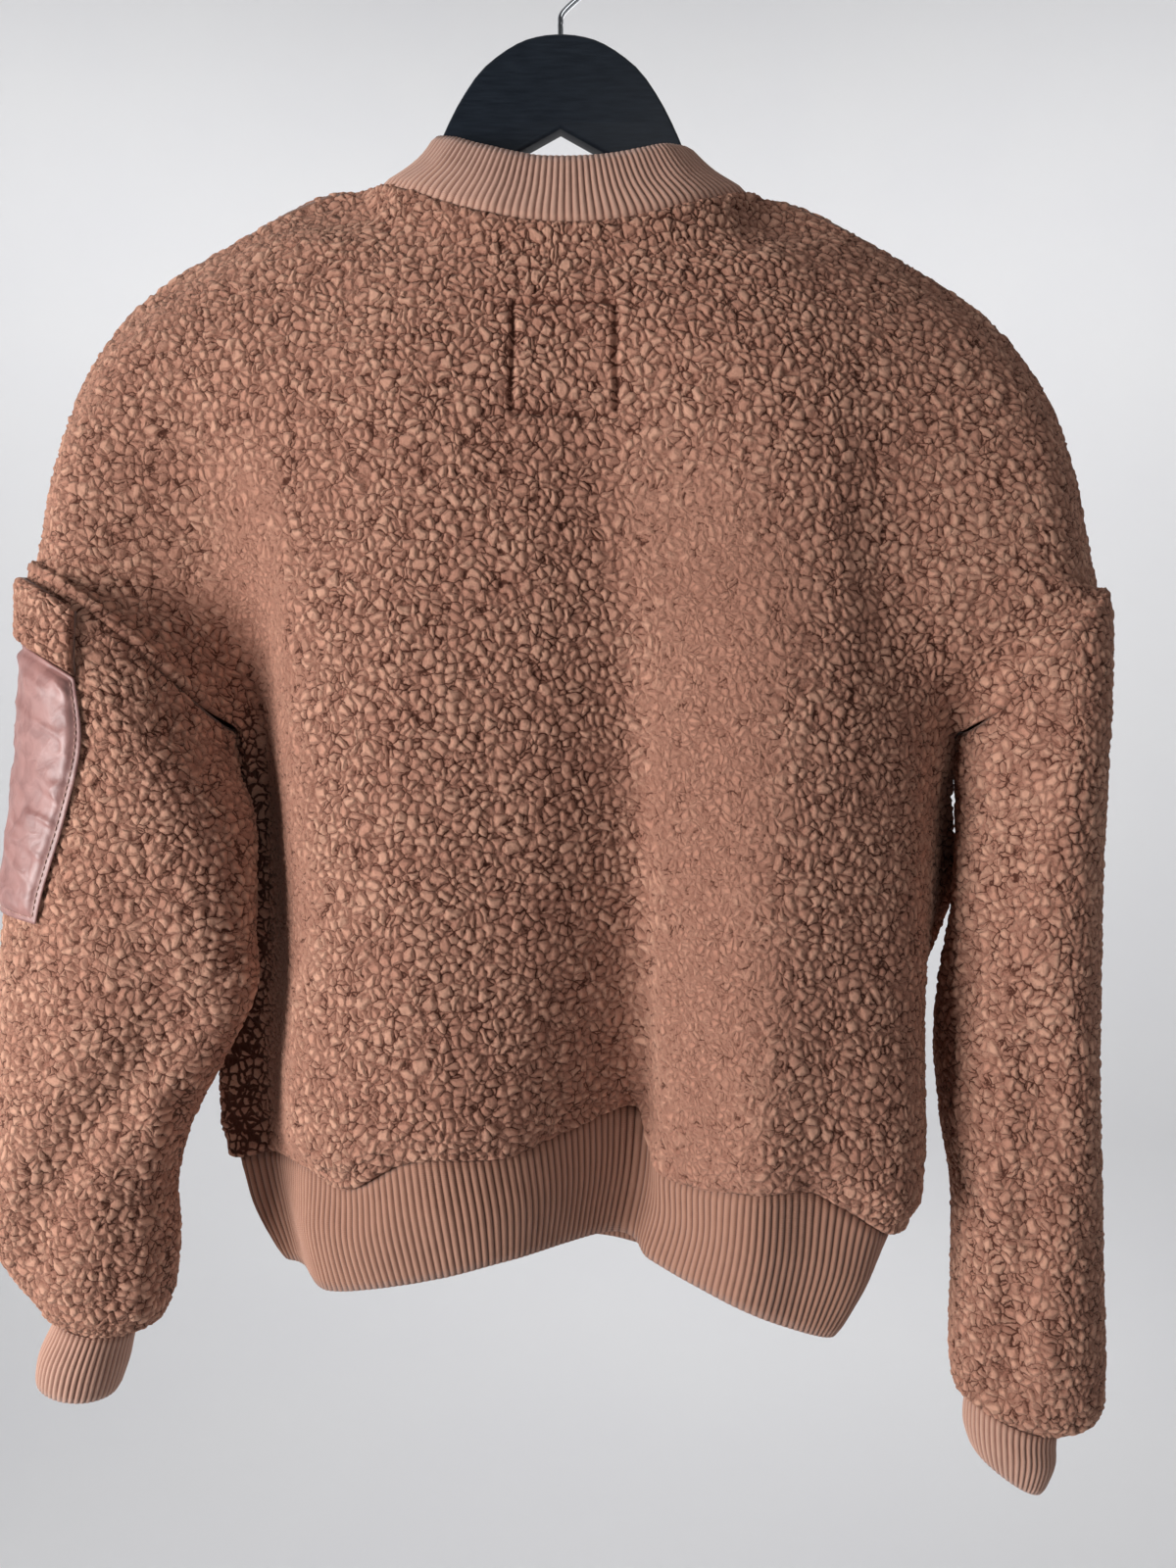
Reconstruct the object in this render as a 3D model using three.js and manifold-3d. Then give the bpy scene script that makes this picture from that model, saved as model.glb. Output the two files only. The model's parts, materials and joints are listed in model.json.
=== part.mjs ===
// Cropped teddy fleece jacket on a wooden hanger.
// Millimetres, +Z up. The origin is the inside top of the hanger hook, x runs to the
// right of the picture, the back of the jacket faces -y and the front faces +y.
import * as THREE from 'three';
import Module from 'manifold-3d';

const wasm = await Module();
wasm.setup();

// Named sizes
const WALL = 6.6;            // fleece backing plus the reach of its pile
const SEAM_DIP = 1.8;        // how much lower the pile lies along a seam
const SEAM_PULL = 0.17;      // half of the gap left between two sewn pieces
const SLEEVE_PULL = 0.6;     // the same for a sleeve, whose seam turns tightly underarm
const RIB_PULL = 0.3;        // the same for a rib piece, whose wall is thinner
const RIB_OUT = 2.2;         // how far below the pile a rib top lies
const RIB_RISE = 0.9;        // height of one knitted rib
const RIB_WALL = 2.6;        // rib top to the plain inside of a rib piece
const ZIP_HALF = 7;          // half of the slot between the two fronts
const FRONT_X = 4;           // x of the front zip
const BACK_COLUMNS = 32;
const FRONT_COLUMNS = 16;

// Levels of the body: 0 neck seam, 8 sleeve seam top, 14 underarm, 22 hem seam, 24 hem edge
const NECK = 0;
const ARM_TOP = 8;
const ARM_LOW = 14;
const HEM_SEAM = 22;
const HEM_EDGE = 24;
const HEM_PUFF = 21.4;       // where the fleece hangs out furthest above the hem
const COLLAR_TOP = -2;

// Side lines of the body: left and right x, y, z, how far the middle of the back
// and of the front lies above or below them, and the y of the front
const SIDES = [
  { t: -2, xL: -81, yL: -2, zL: -128, xR: 82, yR: -2, zR: -134, back: -28, front: -74, yF: 60 },
  { t: -1, xL: -93, yL: 0, zL: -145, xR: 97, yR: 0, zR: -149, back: -34, front: -82, yF: 66 },
  { t: 0, xL: -114, yL: 0, zL: -157, xR: 119, yR: 0, zR: -161, back: -42, front: -90, yF: 73 },
  { t: 1, xL: -150, yL: 0, zL: -161, xR: 151, yR: 0, zR: -168, back: -53, front: -98, yF: 80 },
  { t: 2, xL: -189, yL: 0, zL: -182, xR: 189, yR: 0, zR: -188, back: -48, front: -92, yF: 85 },
  { t: 3.5, xL: -251, yL: 0, zL: -220, xR: 247, yR: 0, zR: -223, back: -39, front: -78, yF: 91 },
  { t: 5, xL: -288, yL: 0, zL: -260, xR: 288, yR: 0, zR: -261, back: -31, front: -58, yF: 96 },
  { t: 6.5, xL: -312, yL: -2, zL: -319, xR: 317, yR: 0, zR: -318, back: -16, front: -32, yF: 101 },
  { t: 8, xL: -326, yL: -4, zL: -393, xR: 336, yR: 0, zR: -409, back: -4, front: -8, yF: 105 },
  { t: 14, xL: -200, yL: 5, zL: -495, xR: 244, yR: 0, zR: -498, back: 0, front: 0, yF: 108 },
  { t: 15, xL: -213, yL: 22, zL: -525, xR: 246, yR: 24, zR: -530, back: 0, front: 0, yF: 109 },
  { t: 16.5, xL: -224, yL: 46, zL: -570, xR: 256, yR: 50, zR: -575, back: 0, front: 0, yF: 111 },
  { t: 18, xL: -230, yL: 58, zL: -610, xR: 230, yR: 34, zR: -650, back: 0, front: 0, yF: 112 },
  { t: 21.4, xL: -228, yL: 52, zL: -750, xR: 222, yR: 10, zR: -772, back: 0, front: 0, yF: 111 },
  { t: 22, xL: -216, yL: 46, zL: -774, xR: 208, yR: 7, zR: -797, back: 0, front: 0, yF: 101 },
  { t: 23, xL: -202, yL: 42, zL: -803, xR: 193, yR: 4, zR: -826, back: 0, front: 0, yF: 93 },
  { t: 24, xL: -184, yL: 34, zL: -834, xR: 176, yR: 0, zR: -853, back: 0, front: 0, yF: 82 },
];

// Lines that run down the back, by column: arm bulge, recess beside the left sleeve,
// edge, crest and slope of the left fold, valley, brow, crest, dip and flank of the
// right fold, arm bulge
const LINE_COLUMNS = [0, 2, 5, 8, 13, 16, 18, 20, 23, 26, 28, 30, 32];
const BACK_LINES = [
  { t: -2, armL: [-77, -14], recess: [-69, -24], edge: [-59, -32], crestL: [-32, -41],
    slope: [-12, -43], valley: [4, -44], brow: [18, -43.5], crestR: [36, -41],
    dip: [52, -37], flank: [65, -30], armR: [78, -14] },
  { t: -1, armL: [-89, -15], recess: [-80, -26], edge: [-69, -35], crestL: [-38, -45],
    slope: [-14, -47], valley: [4, -48], brow: [20, -47.5], crestR: [42, -45],
    dip: [60, -40], flank: [76, -32], armR: [92, -15] },
  { t: 0, armL: [-109, -15], recess: [-98, -27], edge: [-84, -36], crestL: [-46, -48],
    slope: [-17, -50.5], valley: [4, -51], brow: [23, -50.5], crestR: [51, -48],
    dip: [73, -43], flank: [93, -33], armR: [113, -15] },
  { t: 2, armL: [-172, -21], recess: [-146, -35], edge: [-118, -42], crestL: [-62, -54],
    slope: [-20, -57], valley: [6, -58], brow: [30, -58], crestR: [66, -56],
    dip: [100, -51], flank: [130, -43], armR: [170, -21] },
  { t: 5, armL: [-262, -31], recess: [-208, -40], edge: [-160, -50], crestL: [-88, -63],
    slope: [-24, -61], valley: [18, -57], brow: [48, -59], crestR: [98, -65],
    dip: [142, -61], flank: [184, -50], armR: [258, -31] },
  { t: 8, armL: [-289, -38], recess: [-206, -22], edge: [-157, -49], crestL: [-92, -66],
    slope: [-20, -62], valley: [28, -51], brow: [56, -56], crestR: [108, -70],
    dip: [156, -65], flank: [196, -50], armR: [292, -46] },
  { t: 11, armL: [-236, -28], recess: [-193, -5], edge: [-158, -48], crestL: [-94, -68],
    slope: [-18, -60], valley: [34, -47], brow: [60, -54], crestR: [110, -71],
    dip: [158, -65], flank: [202, -46], armR: [262, -42] },
  { t: 14, armL: [-197, -4], recess: [-185, 4], edge: [-159, -42], crestL: [-95, -68],
    slope: [-16, -58], valley: [38, -41], brow: [62, -52], crestR: [110, -71],
    dip: [158, -65], flank: [204, -42], armR: [236, -10] },
  { t: 18, armL: [-224, 46], recess: [-190, 36], edge: [-158, -34], crestL: [-94, -67],
    slope: [-20, -55], valley: [42, -26], brow: [62, -42], crestR: [108, -71],
    dip: [156, -64], flank: [202, -44], armR: [224, -12] },
  { t: 21.4, armL: [-222, 42], recess: [-190, 32], edge: [-157, -34], crestL: [-88, -66],
    slope: [-26, -54], valley: [45, -4], brow: [61, -30], crestR: [106, -70],
    dip: [152, -62], flank: [198, -52], armR: [220, -16] },
  { t: 22, armL: [-211, 38], recess: [-186, 27], edge: [-150, -24], crestL: [-84, -56],
    slope: [-26, -44], valley: [45, 8], brow: [59, -18], crestR: [106, -60],
    dip: [148, -52], flank: [188, -42], armR: [205, -10] },
  { t: 23, armL: [-200, 34], recess: [-178, 24], edge: [-148, -30], crestL: [-78, -58],
    slope: [-22, -46], valley: [42, 4], brow: [60, -18], crestR: [104, -58],
    dip: [144, -52], flank: [178, -40], armR: [189, -12] },
  { t: 24, armL: [-181, 24], recess: [-166, 12], edge: [-140, -34], crestL: [-72, -54],
    slope: [-22, -44], valley: [35, -2], brow: [52, -18], crestR: [98, -54],
    dip: [136, -48], flank: [163, -36], armR: [172, -14] },
];

// Height of the hem seam and of the hem edge round the back, by column
const HEM_LINES = [
  { column: 0, seam: -774, edge: -834 },
  { column: 2, seam: -773, edge: -833 },
  { column: 5, seam: -766, edge: -832 },
  { column: 8, seam: -761, edge: -829 },
  { column: 10, seam: -767, edge: -824 },
  { column: 13, seam: -746, edge: -815 },
  { column: 16, seam: -746, edge: -806 },
  { column: 18, seam: -731, edge: -806 },
  { column: 20, seam: -764, edge: -816 },
  { column: 23, seam: -764, edge: -829 },
  { column: 26, seam: -766, edge: -846 },
  { column: 28, seam: -791, edge: -857 },
  { column: 30, seam: -802, edge: -857 },
  { column: 32, seam: -803, edge: -853 },
];
const HEM_FRONT_DROP = { seam: 12, edge: 6 };

// How far the cloth falls off behind and before the ridge of the shoulders, and over what width
const ROLL = 8;
const ROLL_WIDTH = 12;

// Soft folds of the fronts: x at the chest, x at the hem, half width, depth at both
const FRONT_FOLDS = [
  { top: -150, low: -120, width: 26, chest: -3, hem: -16 },
  { top: -78, low: -58, width: 24, chest: 2, hem: 10 },
  { top: 92, low: 70, width: 25, chest: -2, hem: -14 },
  { top: 165, low: 138, width: 28, chest: 3, hem: 12 },
];

// Sleeve rings from the sleeve seam to the cuff edge: outer and inner point, half depth,
// how far the cloth has turned round the arm, in degrees, and how far its middle rises
const LEFT_RINGS = [
  { xO: -326, zO: -393, yO: -4, xI: -200, zI: -495, yI: 5, depth: 50, turn: 0, rise: 12 },
  { xO: -325, zO: -434, yO: -6, xI: -203, zI: -519, yI: -10, depth: 51, turn: 3, rise: 8 },
  { xO: -325, zO: -480, yO: -8, xI: -190, zI: -547, yI: -20, depth: 50, turn: 4, rise: 3 },
  { xO: -328, zO: -532, yO: -10, xI: -185, zI: -582, yI: -26, depth: 49, turn: -4, rise: 0 },
  { xO: -335, zO: -586, yO: -12, xI: -182, zI: -616, yI: -28, depth: 48, turn: -13, rise: 0 },
  { xO: -340, zO: -640, yO: -12, xI: -180, zI: -650, yI: -26, depth: 46, turn: -20, rise: 0 },
  { xO: -343, zO: -690, yO: -12, xI: -197, zI: -690, yI: -22, depth: 45, turn: -24, rise: 0 },
  { xO: -344, zO: -735, yO: -10, xI: -219, zI: -728, yI: -16, depth: 44, turn: -26, rise: 0 },
  { xO: -344, zO: -774, yO: -8, xI: -234, zI: -768, yI: -10, depth: 43, turn: -26, rise: 0 },
  { xO: -340, zO: -806, yO: -6, xI: -235, zI: -808, yI: -6, depth: 42, turn: -26, rise: 0 },
  { xO: -331, zO: -828, yO: -4, xI: -238, zI: -838, yI: -4, depth: 39, turn: -26, rise: 0 },
  { xO: -321, zO: -844, yO: -3, xI: -247, zI: -858, yI: -3, depth: 33, turn: -26, rise: 0 },
  { xO: -313, zO: -853, yO: -2, xI: -261, zI: -866, yI: -2, depth: 27, turn: -26, rise: 0 },
  { xO: -321, zO: -874, yO: -2, xI: -267, zI: -886, yI: -2, depth: 28, turn: -26, rise: 0 },
  { xO: -325, zO: -893, yO: -2, xI: -272, zI: -904, yI: -2, depth: 27, turn: -26, rise: 0 },
];
const RIGHT_RINGS = [
  { xO: 336, zO: -409, yO: 0, xI: 244, zI: -498, yI: 0, depth: 60, turn: 0, rise: 4 },
  { xO: 335, zO: -442, yO: -2, xI: 250, zI: -520, yI: -3, depth: 62, turn: 0, rise: 2 },
  { xO: 333, zO: -482, yO: -3, xI: 250, zI: -550, yI: -4, depth: 63, turn: 0, rise: 0 },
  { xO: 330, zO: -528, yO: -4, xI: 247, zI: -582, yI: -4, depth: 63, turn: 0, rise: 0 },
  { xO: 328, zO: -577, yO: -4, xI: 245, zI: -617, yI: -2, depth: 62, turn: 0, rise: 0 },
  { xO: 328, zO: -627, yO: -4, xI: 241, zI: -652, yI: 4, depth: 60, turn: 0, rise: 0 },
  { xO: 328, zO: -682, yO: -4, xI: 236, zI: -692, yI: 8, depth: 57, turn: 0, rise: 0 },
  { xO: 329, zO: -736, yO: -4, xI: 238, zI: -735, yI: 4, depth: 54, turn: 0, rise: 0 },
  { xO: 331, zO: -788, yO: -3, xI: 243, zI: -780, yI: -2, depth: 50, turn: 0, rise: 0 },
  { xO: 333, zO: -836, yO: -2, xI: 243, zI: -830, yI: -2, depth: 46, turn: 0, rise: 0 },
  { xO: 335, zO: -884, yO: -1, xI: 242, zI: -874, yI: 0, depth: 43, turn: 0, rise: 0 },
  { xO: 332, zO: -915, yO: 0, xI: 244, zI: -900, yI: 0, depth: 36, turn: 0, rise: 0 },
  { xO: 310, zO: -928, yO: 0, xI: 249, zI: -908, yI: 0, depth: 28, turn: 0, rise: 0 },
  { xO: 306, zO: -946, yO: 0, xI: 250, zI: -925, yI: 0, depth: 29, turn: 0, rise: 0 },
  { xO: 300, zO: -963, yO: 0, xI: 254, zI: -942, yI: 0, depth: 27, turn: 0, rise: 0 },
];
const SLEEVE_END = 12;
const CUFF_END = 14;
const SLEEVE_COLUMNS = 24;

// Creases of the sleeves: ring and angle of the middle, how far it slants in degrees
// a ring, half length in rings, half width in degrees, depth
const SLEEVE_FOLDS = {
  left: [
    { ring: 7.2, angle: 120, slant: -16, length: 2.6, width: 22, depth: 9 },
    { ring: 8.6, angle: 66, slant: -12, length: 2.2, width: 20, depth: -5 },
    { ring: 4.6, angle: 128, slant: 10, length: 1.8, width: 18, depth: 5 },
    { ring: 6.5, angle: 236, slant: 14, length: 2.4, width: 24, depth: 8 },
    { ring: 9.4, angle: 280, slant: -8, length: 1.8, width: 22, depth: 6 },
  ],
  right: [
    { ring: 9.2, angle: 118, slant: 7, length: 2.6, width: 20, depth: 9 },
    { ring: 6.2, angle: 96, slant: -12, length: 1.8, width: 22, depth: 6 },
    { ring: 3.4, angle: 134, slant: 12, length: 2.2, width: 18, depth: 6 },
    { ring: 5.2, angle: 232, slant: 14, length: 2.4, width: 24, depth: 8 },
    { ring: 9.0, angle: 262, slant: -10, length: 1.8, width: 22, depth: 7 },
  ],
};

// Pocket on the left sleeve, in columns of the sleeve counted from its outer line
const POCKET = { from: -3, to: 5, flapTop: 0.22, flapLow: 1.15, panelTop: 1.18, panelLow: 4.3 };
const POCKET_LIFT = 1;
const FLAP_WALL = 5;
const PANEL_WALL = 2.4;

// Hanger
const WOOD_THICK = 12;
const WOOD_TOP = [
  [0, -65], [12, -66], [24, -69.3], [37, -77], [50, -88], [62, -106], [71, -124],
  [80, -146], [94, -166], [112, -180.3], [150, -189.6], [190, -206], [220, -222.9], [227, -231.9],
];
const WOOD_LOW = [[225, -241], [217, -245], [0, -123.5]];
const HOOK_WIRE = 3.5;
const HOOK_RADIUS = 22;

// Colours as seen
const FLEECE = '#a97c66';
const RIB = '#b0806c';
const SATIN = '#b98a83';
const WOOD = '#17191d';
const STEEL = '#c9ccd0';
const BRASS = '#b9a27a';

const DEG = Math.PI / 180;
const vec = (x, y, z) => new THREE.Vector3(x, y, z);
const mix = (a, b, f) => a + (b - a) * f;

// Smooth curve through values given at uneven knots
function spline(knots, values, at) {
  const last = knots.length - 1;
  if (at <= knots[0]) return values[0];
  if (at >= knots[last]) return values[last];
  let i = 0;
  while (at > knots[i + 1]) i += 1;
  const slope = (j) => {
    const a = Math.max(j - 1, 0);
    const b = Math.min(j + 1, last);
    return (values[b] - values[a]) / (knots[b] - knots[a]);
  };
  const h = knots[i + 1] - knots[i];
  const f = (at - knots[i]) / h;
  const f2 = f * f;
  const f3 = f2 * f;
  return (2 * f3 - 3 * f2 + 1) * values[i] + (f3 - 2 * f2 + f) * h * slope(i)
    + (3 * f2 - 2 * f3) * values[i + 1] + (f3 - f2) * h * slope(i + 1);
}

// One named column of a table, read at any level
function read(rows, key, at, knot = 't') {
  return spline(rows.map((r) => r[knot]), rows.map((r) => r[key]), at);
}

// Ring of the sleeve seam: angle 0 is its outer tip, 180 the underarm, back side first
function seamRing(rings, angle) {
  const r = rings[0];
  const c = Math.cos(angle * DEG);
  const s = Math.sin(angle * DEG);
  return vec(
    mix(r.xO, r.xI, (1 - c) / 2),
    mix(r.yO, r.yI, (1 - c) / 2) - r.depth * s,
    mix(r.zO, r.zI, (1 - c) / 2) + r.rise * s * s,
  );
}

// Rows of the side table above and below the armhole
const ABOVE_ARM = SIDES.filter((r) => r.t <= ARM_TOP);
const BELOW_ARM = SIDES.filter((r) => r.t >= ARM_LOW);

// Side line of the body at a level; side -1 left, +1 right; face -1 back, +1 front
function sidePoint(t, side, face) {
  if (t > ARM_TOP && t < ARM_LOW) {
    const angle = ((t - ARM_TOP) / (ARM_LOW - ARM_TOP)) * 180;
    return seamRing(side < 0 ? LEFT_RINGS : RIGHT_RINGS, face < 0 ? angle : -angle);
  }
  const k = side < 0 ? 'L' : 'R';
  const rows = t <= ARM_TOP ? ABOVE_ARM : BELOW_ARM;
  return vec(read(rows, `x${k}`, t), read(rows, `y${k}`, t), read(rows, `z${k}`, t));
}

// Height of a side line below the underarm, the same for the back and the front
function sideHeight(t, side) {
  const row = HEM_LINES[side < 0 ? 0 : HEM_LINES.length - 1];
  const under = side < 0 ? BELOW_ARM[0].zL : BELOW_ARM[0].zR;
  if (t <= HEM_SEAM) return mix(under, row.seam, (t - ARM_LOW) / (HEM_SEAM - ARM_LOW));
  return mix(row.seam, row.edge, (t - HEM_SEAM) / (HEM_EDGE - HEM_SEAM));
}

// Mean height of a level, by which the lines and the front are read
function height(t) {
  const mean = (row) => (row.zL + row.zR) / 2;
  const under = mean(BELOW_ARM[0]);
  const seam = (sideHeight(HEM_SEAM, -1) + sideHeight(HEM_SEAM, 1)) / 2;
  const edge = (sideHeight(HEM_EDGE, -1) + sideHeight(HEM_EDGE, 1)) / 2;
  if (t <= ARM_TOP) return spline(ABOVE_ARM.map((r) => r.t), ABOVE_ARM.map(mean), t);
  if (t < ARM_LOW) {
    const f = (1 - Math.cos(((t - ARM_TOP) / (ARM_LOW - ARM_TOP)) * Math.PI)) / 2;
    return mix(mean(ABOVE_ARM[ABOVE_ARM.length - 1]), under, f);
  }
  if (t <= HEM_SEAM) return mix(under, seam, (t - ARM_LOW) / (HEM_SEAM - ARM_LOW));
  return mix(seam, edge, (t - HEM_SEAM) / (HEM_EDGE - HEM_SEAM));
}

// A column of the side table read by height
const SIDE_HEIGHTS = SIDES.map((r) => -height(r.t));
const readByHeight = (key, t) => spline(SIDE_HEIGHTS, SIDES.map((r) => r[key]), -height(t));

// How far the shoulder has fallen at a distance from its ridge
function roll(t, off) {
  const fade = Math.min(Math.max(t / 1.5, 0), 1) * Math.min(Math.max((ARM_TOP - t) / 3, 0), 1);
  return ROLL * fade * (1 - Math.exp(-((off / ROLL_WIDTH) ** 2)));
}

const LINE_NAMES = ['armL', 'recess', 'edge', 'crestL', 'slope', 'valley', 'brow', 'crestR',
  'dip', 'flank', 'armR'];
const LINE_X = LINE_NAMES.map((n) => BACK_LINES.map((r) => r[n][0]));
const LINE_Y = LINE_NAMES.map((n) => BACK_LINES.map((r) => r[n][1]));
const LINE_HEIGHTS = BACK_LINES.map((r) => -height(r.t));

// Point of the back at a column (0 left side, 32 right side) and a level
function backPoint(column, t) {
  const left = sidePoint(t, -1, -1);
  const right = sidePoint(t, 1, -1);
  const at = -height(t);
  const xs = [left.x, ...LINE_X.map((v) => spline(LINE_HEIGHTS, v, at)), right.x];
  const ys = [left.y, ...LINE_Y.map((v) => spline(LINE_HEIGHTS, v, at)), right.y];
  const x = spline(LINE_COLUMNS, xs, column);
  const y = spline(LINE_COLUMNS, ys, column);
  const across = Math.min(Math.max((x - left.x) / (right.x - left.x), 0), 1);
  const sag = readByHeight('back', t) * (1 - (2 * across - 1) ** 2);
  const fall = roll(t, y - mix(left.y, right.y, across));
  if (t <= ARM_LOW) return vec(x, y, mix(left.z, right.z, across) + sag - fall);
  const under = mix(BELOW_ARM[0].zL, BELOW_ARM[0].zR, across);
  const seam = read(HEM_LINES, 'seam', column, 'column');
  const edge = read(HEM_LINES, 'edge', column, 'column');
  const z = t <= HEM_SEAM
    ? mix(under, seam, (t - ARM_LOW) / (HEM_SEAM - ARM_LOW))
    : mix(seam, edge, (t - HEM_SEAM) / (HEM_EDGE - HEM_SEAM));
  return vec(x, y, z);
}

// Point of a front; f runs from 0 at the zip to 1 at the side
function frontPoint(side, f, t) {
  const end = sidePoint(t, side, 1);
  const reach = Math.abs(end.x - FRONT_X);
  const start = Math.asin(Math.min(ZIP_HALF / reach, 1));
  const turn = mix(start, Math.PI / 2, f);
  const x = FRONT_X + side * reach * Math.sin(turn);
  const open = t > ARM_TOP && t < ARM_LOW ? Math.sin(((t - ARM_TOP) / 6) * Math.PI) : 0;
  const bow = Math.cos(turn) ** (1 + 0.5 * open);
  let y = mix(end.y, readByHeight('yF', t), bow);
  const low = Math.min(Math.max((height(t) - height(2)) / (height(HEM_SEAM) - height(2)), 0), 1);
  const calm = Math.min(Math.max((t - 2) / 4, 0), 1) * Math.cos(turn) ** 0.5;
  for (const fold of FRONT_FOLDS) {
    const at = (x - mix(fold.top, fold.low, low)) / fold.width;
    y += calm * mix(fold.chest, fold.hem, low ** 1.5) * Math.exp(-at * at);
  }
  const flat = end.z + readByHeight('front', t) * Math.cos(turn) ** 2;
  if (t <= ARM_LOW) return vec(x, y, flat - roll(t, y - end.y));
  const mid = mix(HEM_FRONT_DROP.seam, HEM_FRONT_DROP.edge, Math.max(t - HEM_SEAM, 0) / 2);
  const rise = mid * Math.min((t - ARM_LOW) / (HEM_SEAM - ARM_LOW), 1) * Math.cos(turn);
  const level = mix(sideHeight(t, -1), sideHeight(t, 1), (x + 220) / 440);
  return vec(x, y, mix(sideHeight(t, side), level, Math.cos(turn)) + rise);
}

// Point of a sleeve at a ring and an angle
function sleevePoint(name, k, angle) {
  const rings = name === 'left' ? LEFT_RINGS : RIGHT_RINGS;
  const at = rings.map((r, i) => i);
  const get = (key) => spline(at, rings.map((r) => r[key]), k);
  const around = angle + get('turn');
  const c = Math.cos(around * DEG);
  const s = Math.sin(around * DEG);
  const f = (1 - c) / 2;
  let grow = 0;
  const fade = Math.min(k / 1.5, (SLEEVE_END - k) / 1.5, 1);
  if (fade > 0) {
    for (const fold of SLEEVE_FOLDS[name]) {
      const dk = (k - fold.ring) / fold.length;
      let da = angle - fold.angle - fold.slant * (k - fold.ring);
      da = ((da + 540) % 360) - 180;
      grow -= fade * fold.depth * Math.exp(-dk * dk - (da / fold.width) ** 2);
    }
  }
  const half = (get('xI') - get('xO')) / 2;
  return vec(
    mix(get('xO'), get('xI'), f) - Math.sign(half) * grow * c,
    mix(get('yO'), get('yI'), f) - (get('depth') + grow) * s,
    mix(get('zO'), get('zI'), f) + get('rise') * s * s,
  );
}

const levels = (from, to) => Array.from({ length: to - from + 1 }, (v, i) => from + i);
const columns = (count) => levels(0, count);

// Normals of all outer grids, added up where pieces meet
const normalSums = new Map();
const keyOf = (p) => [p.x, p.y, p.z].map((v) => Math.round(v * 100 + 0.137)).join();

function addNormals(grid) {
  for (let r = 0; r + 1 < grid.length; r += 1) {
    for (let c = 0; c + 1 < grid[r].length; c += 1) {
      const quad = [grid[r][c], grid[r + 1][c], grid[r + 1][c + 1], grid[r][c + 1]];
      const n = quad[2].clone().sub(quad[0]).cross(quad[3].clone().sub(quad[1]));
      for (const p of quad) {
        const key = keyOf(p);
        if (!normalSums.has(key)) normalSums.set(key, vec(0, 0, 0));
        normalSums.get(key).add(n);
      }
    }
  }
}

const normalAt = (p) => normalSums.get(keyOf(p)).clone().normalize();

// Whether a block of a rim is cut from its first outer to its last inner point
const cutsFirst = (a0, a1, b0, b1) => a0.distanceTo(b1) <= a1.distanceTo(b0);

// Triangles of a closed body, with shared points
class Body {
  constructor() {
    this.points = [];
    this.index = new Map();
    this.faces = [];
  }

  id(p) {
    const key = `${p.x.toFixed(4)},${p.y.toFixed(4)},${p.z.toFixed(4)}`;
    if (!this.index.has(key)) {
      this.index.set(key, this.points.length);
      this.points.push(p);
    }
    return this.index.get(key);
  }

  tri(a, b, c) {
    const [i, j, k] = [this.id(a), this.id(b), this.id(c)];
    if (i !== j && j !== k && k !== i) this.faces.push([i, j, k]);
  }

  quad(a, b, c, d) {
    if (a.distanceTo(c) <= b.distanceTo(d)) {
      this.tri(a, b, c);
      this.tri(a, c, d);
    } else {
      this.tri(a, b, d);
      this.tri(b, c, d);
    }
  }

  // Fills the rim between an outer and an inner row, one block of cloth at a time.
  // A block is cut along its shorter diagonal, so that two sewn rims lie face to face.
  // The measure rows, before they were drawn apart, tell which diagonal is shorter.
  rim(outer, inner, blocks, flip, [outMeasure, innMeasure] = [outer, inner]) {
    const face = (a, b, c) => (flip ? this.tri(a, c, b) : this.tri(a, b, c));
    const last = blocks.length - 1;
    for (let b = 0; b < last; b += 1) {
      const [from, to] = [blocks[b], blocks[b + 1]];
      const out = outer.slice(from.out, to.out + 1);
      const inn = inner.slice(from.inn, to.inn + 1);
      const first = cutsFirst(
        outMeasure[from.out], outMeasure[to.out], innMeasure[from.inn], innMeasure[to.inn]);
      const outTip = inn[first ? inn.length - 1 : 0];
      const innTip = out[first ? 0 : out.length - 1];
      for (let i = 0; i + 1 < out.length; i += 1) face(out[i], out[i + 1], outTip);
      for (let i = 0; i + 1 < inn.length; i += 1) face(inn[i + 1], inn[i], innTip);
    }
  }

  geometry() {
    const flat = new Float32Array(this.points.flatMap((p) => [p.x, p.y, p.z]));
    const geometry = new THREE.BufferGeometry();
    geometry.setAttribute('position', new THREE.BufferAttribute(flat, 3));
    geometry.setIndex(this.faces.flat());
    geometry.computeVertexNormals();
    return geometry;
  }
}

// Evenly spaced blocks of a rim: every so many points of the outer and the inner row
function evenBlocks(points, outStep, innStep = outStep) {
  const count = (points - 1) / outStep;
  return columns(count).map((i) => ({ out: i * outStep, inn: i * innStep }));
}

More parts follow.
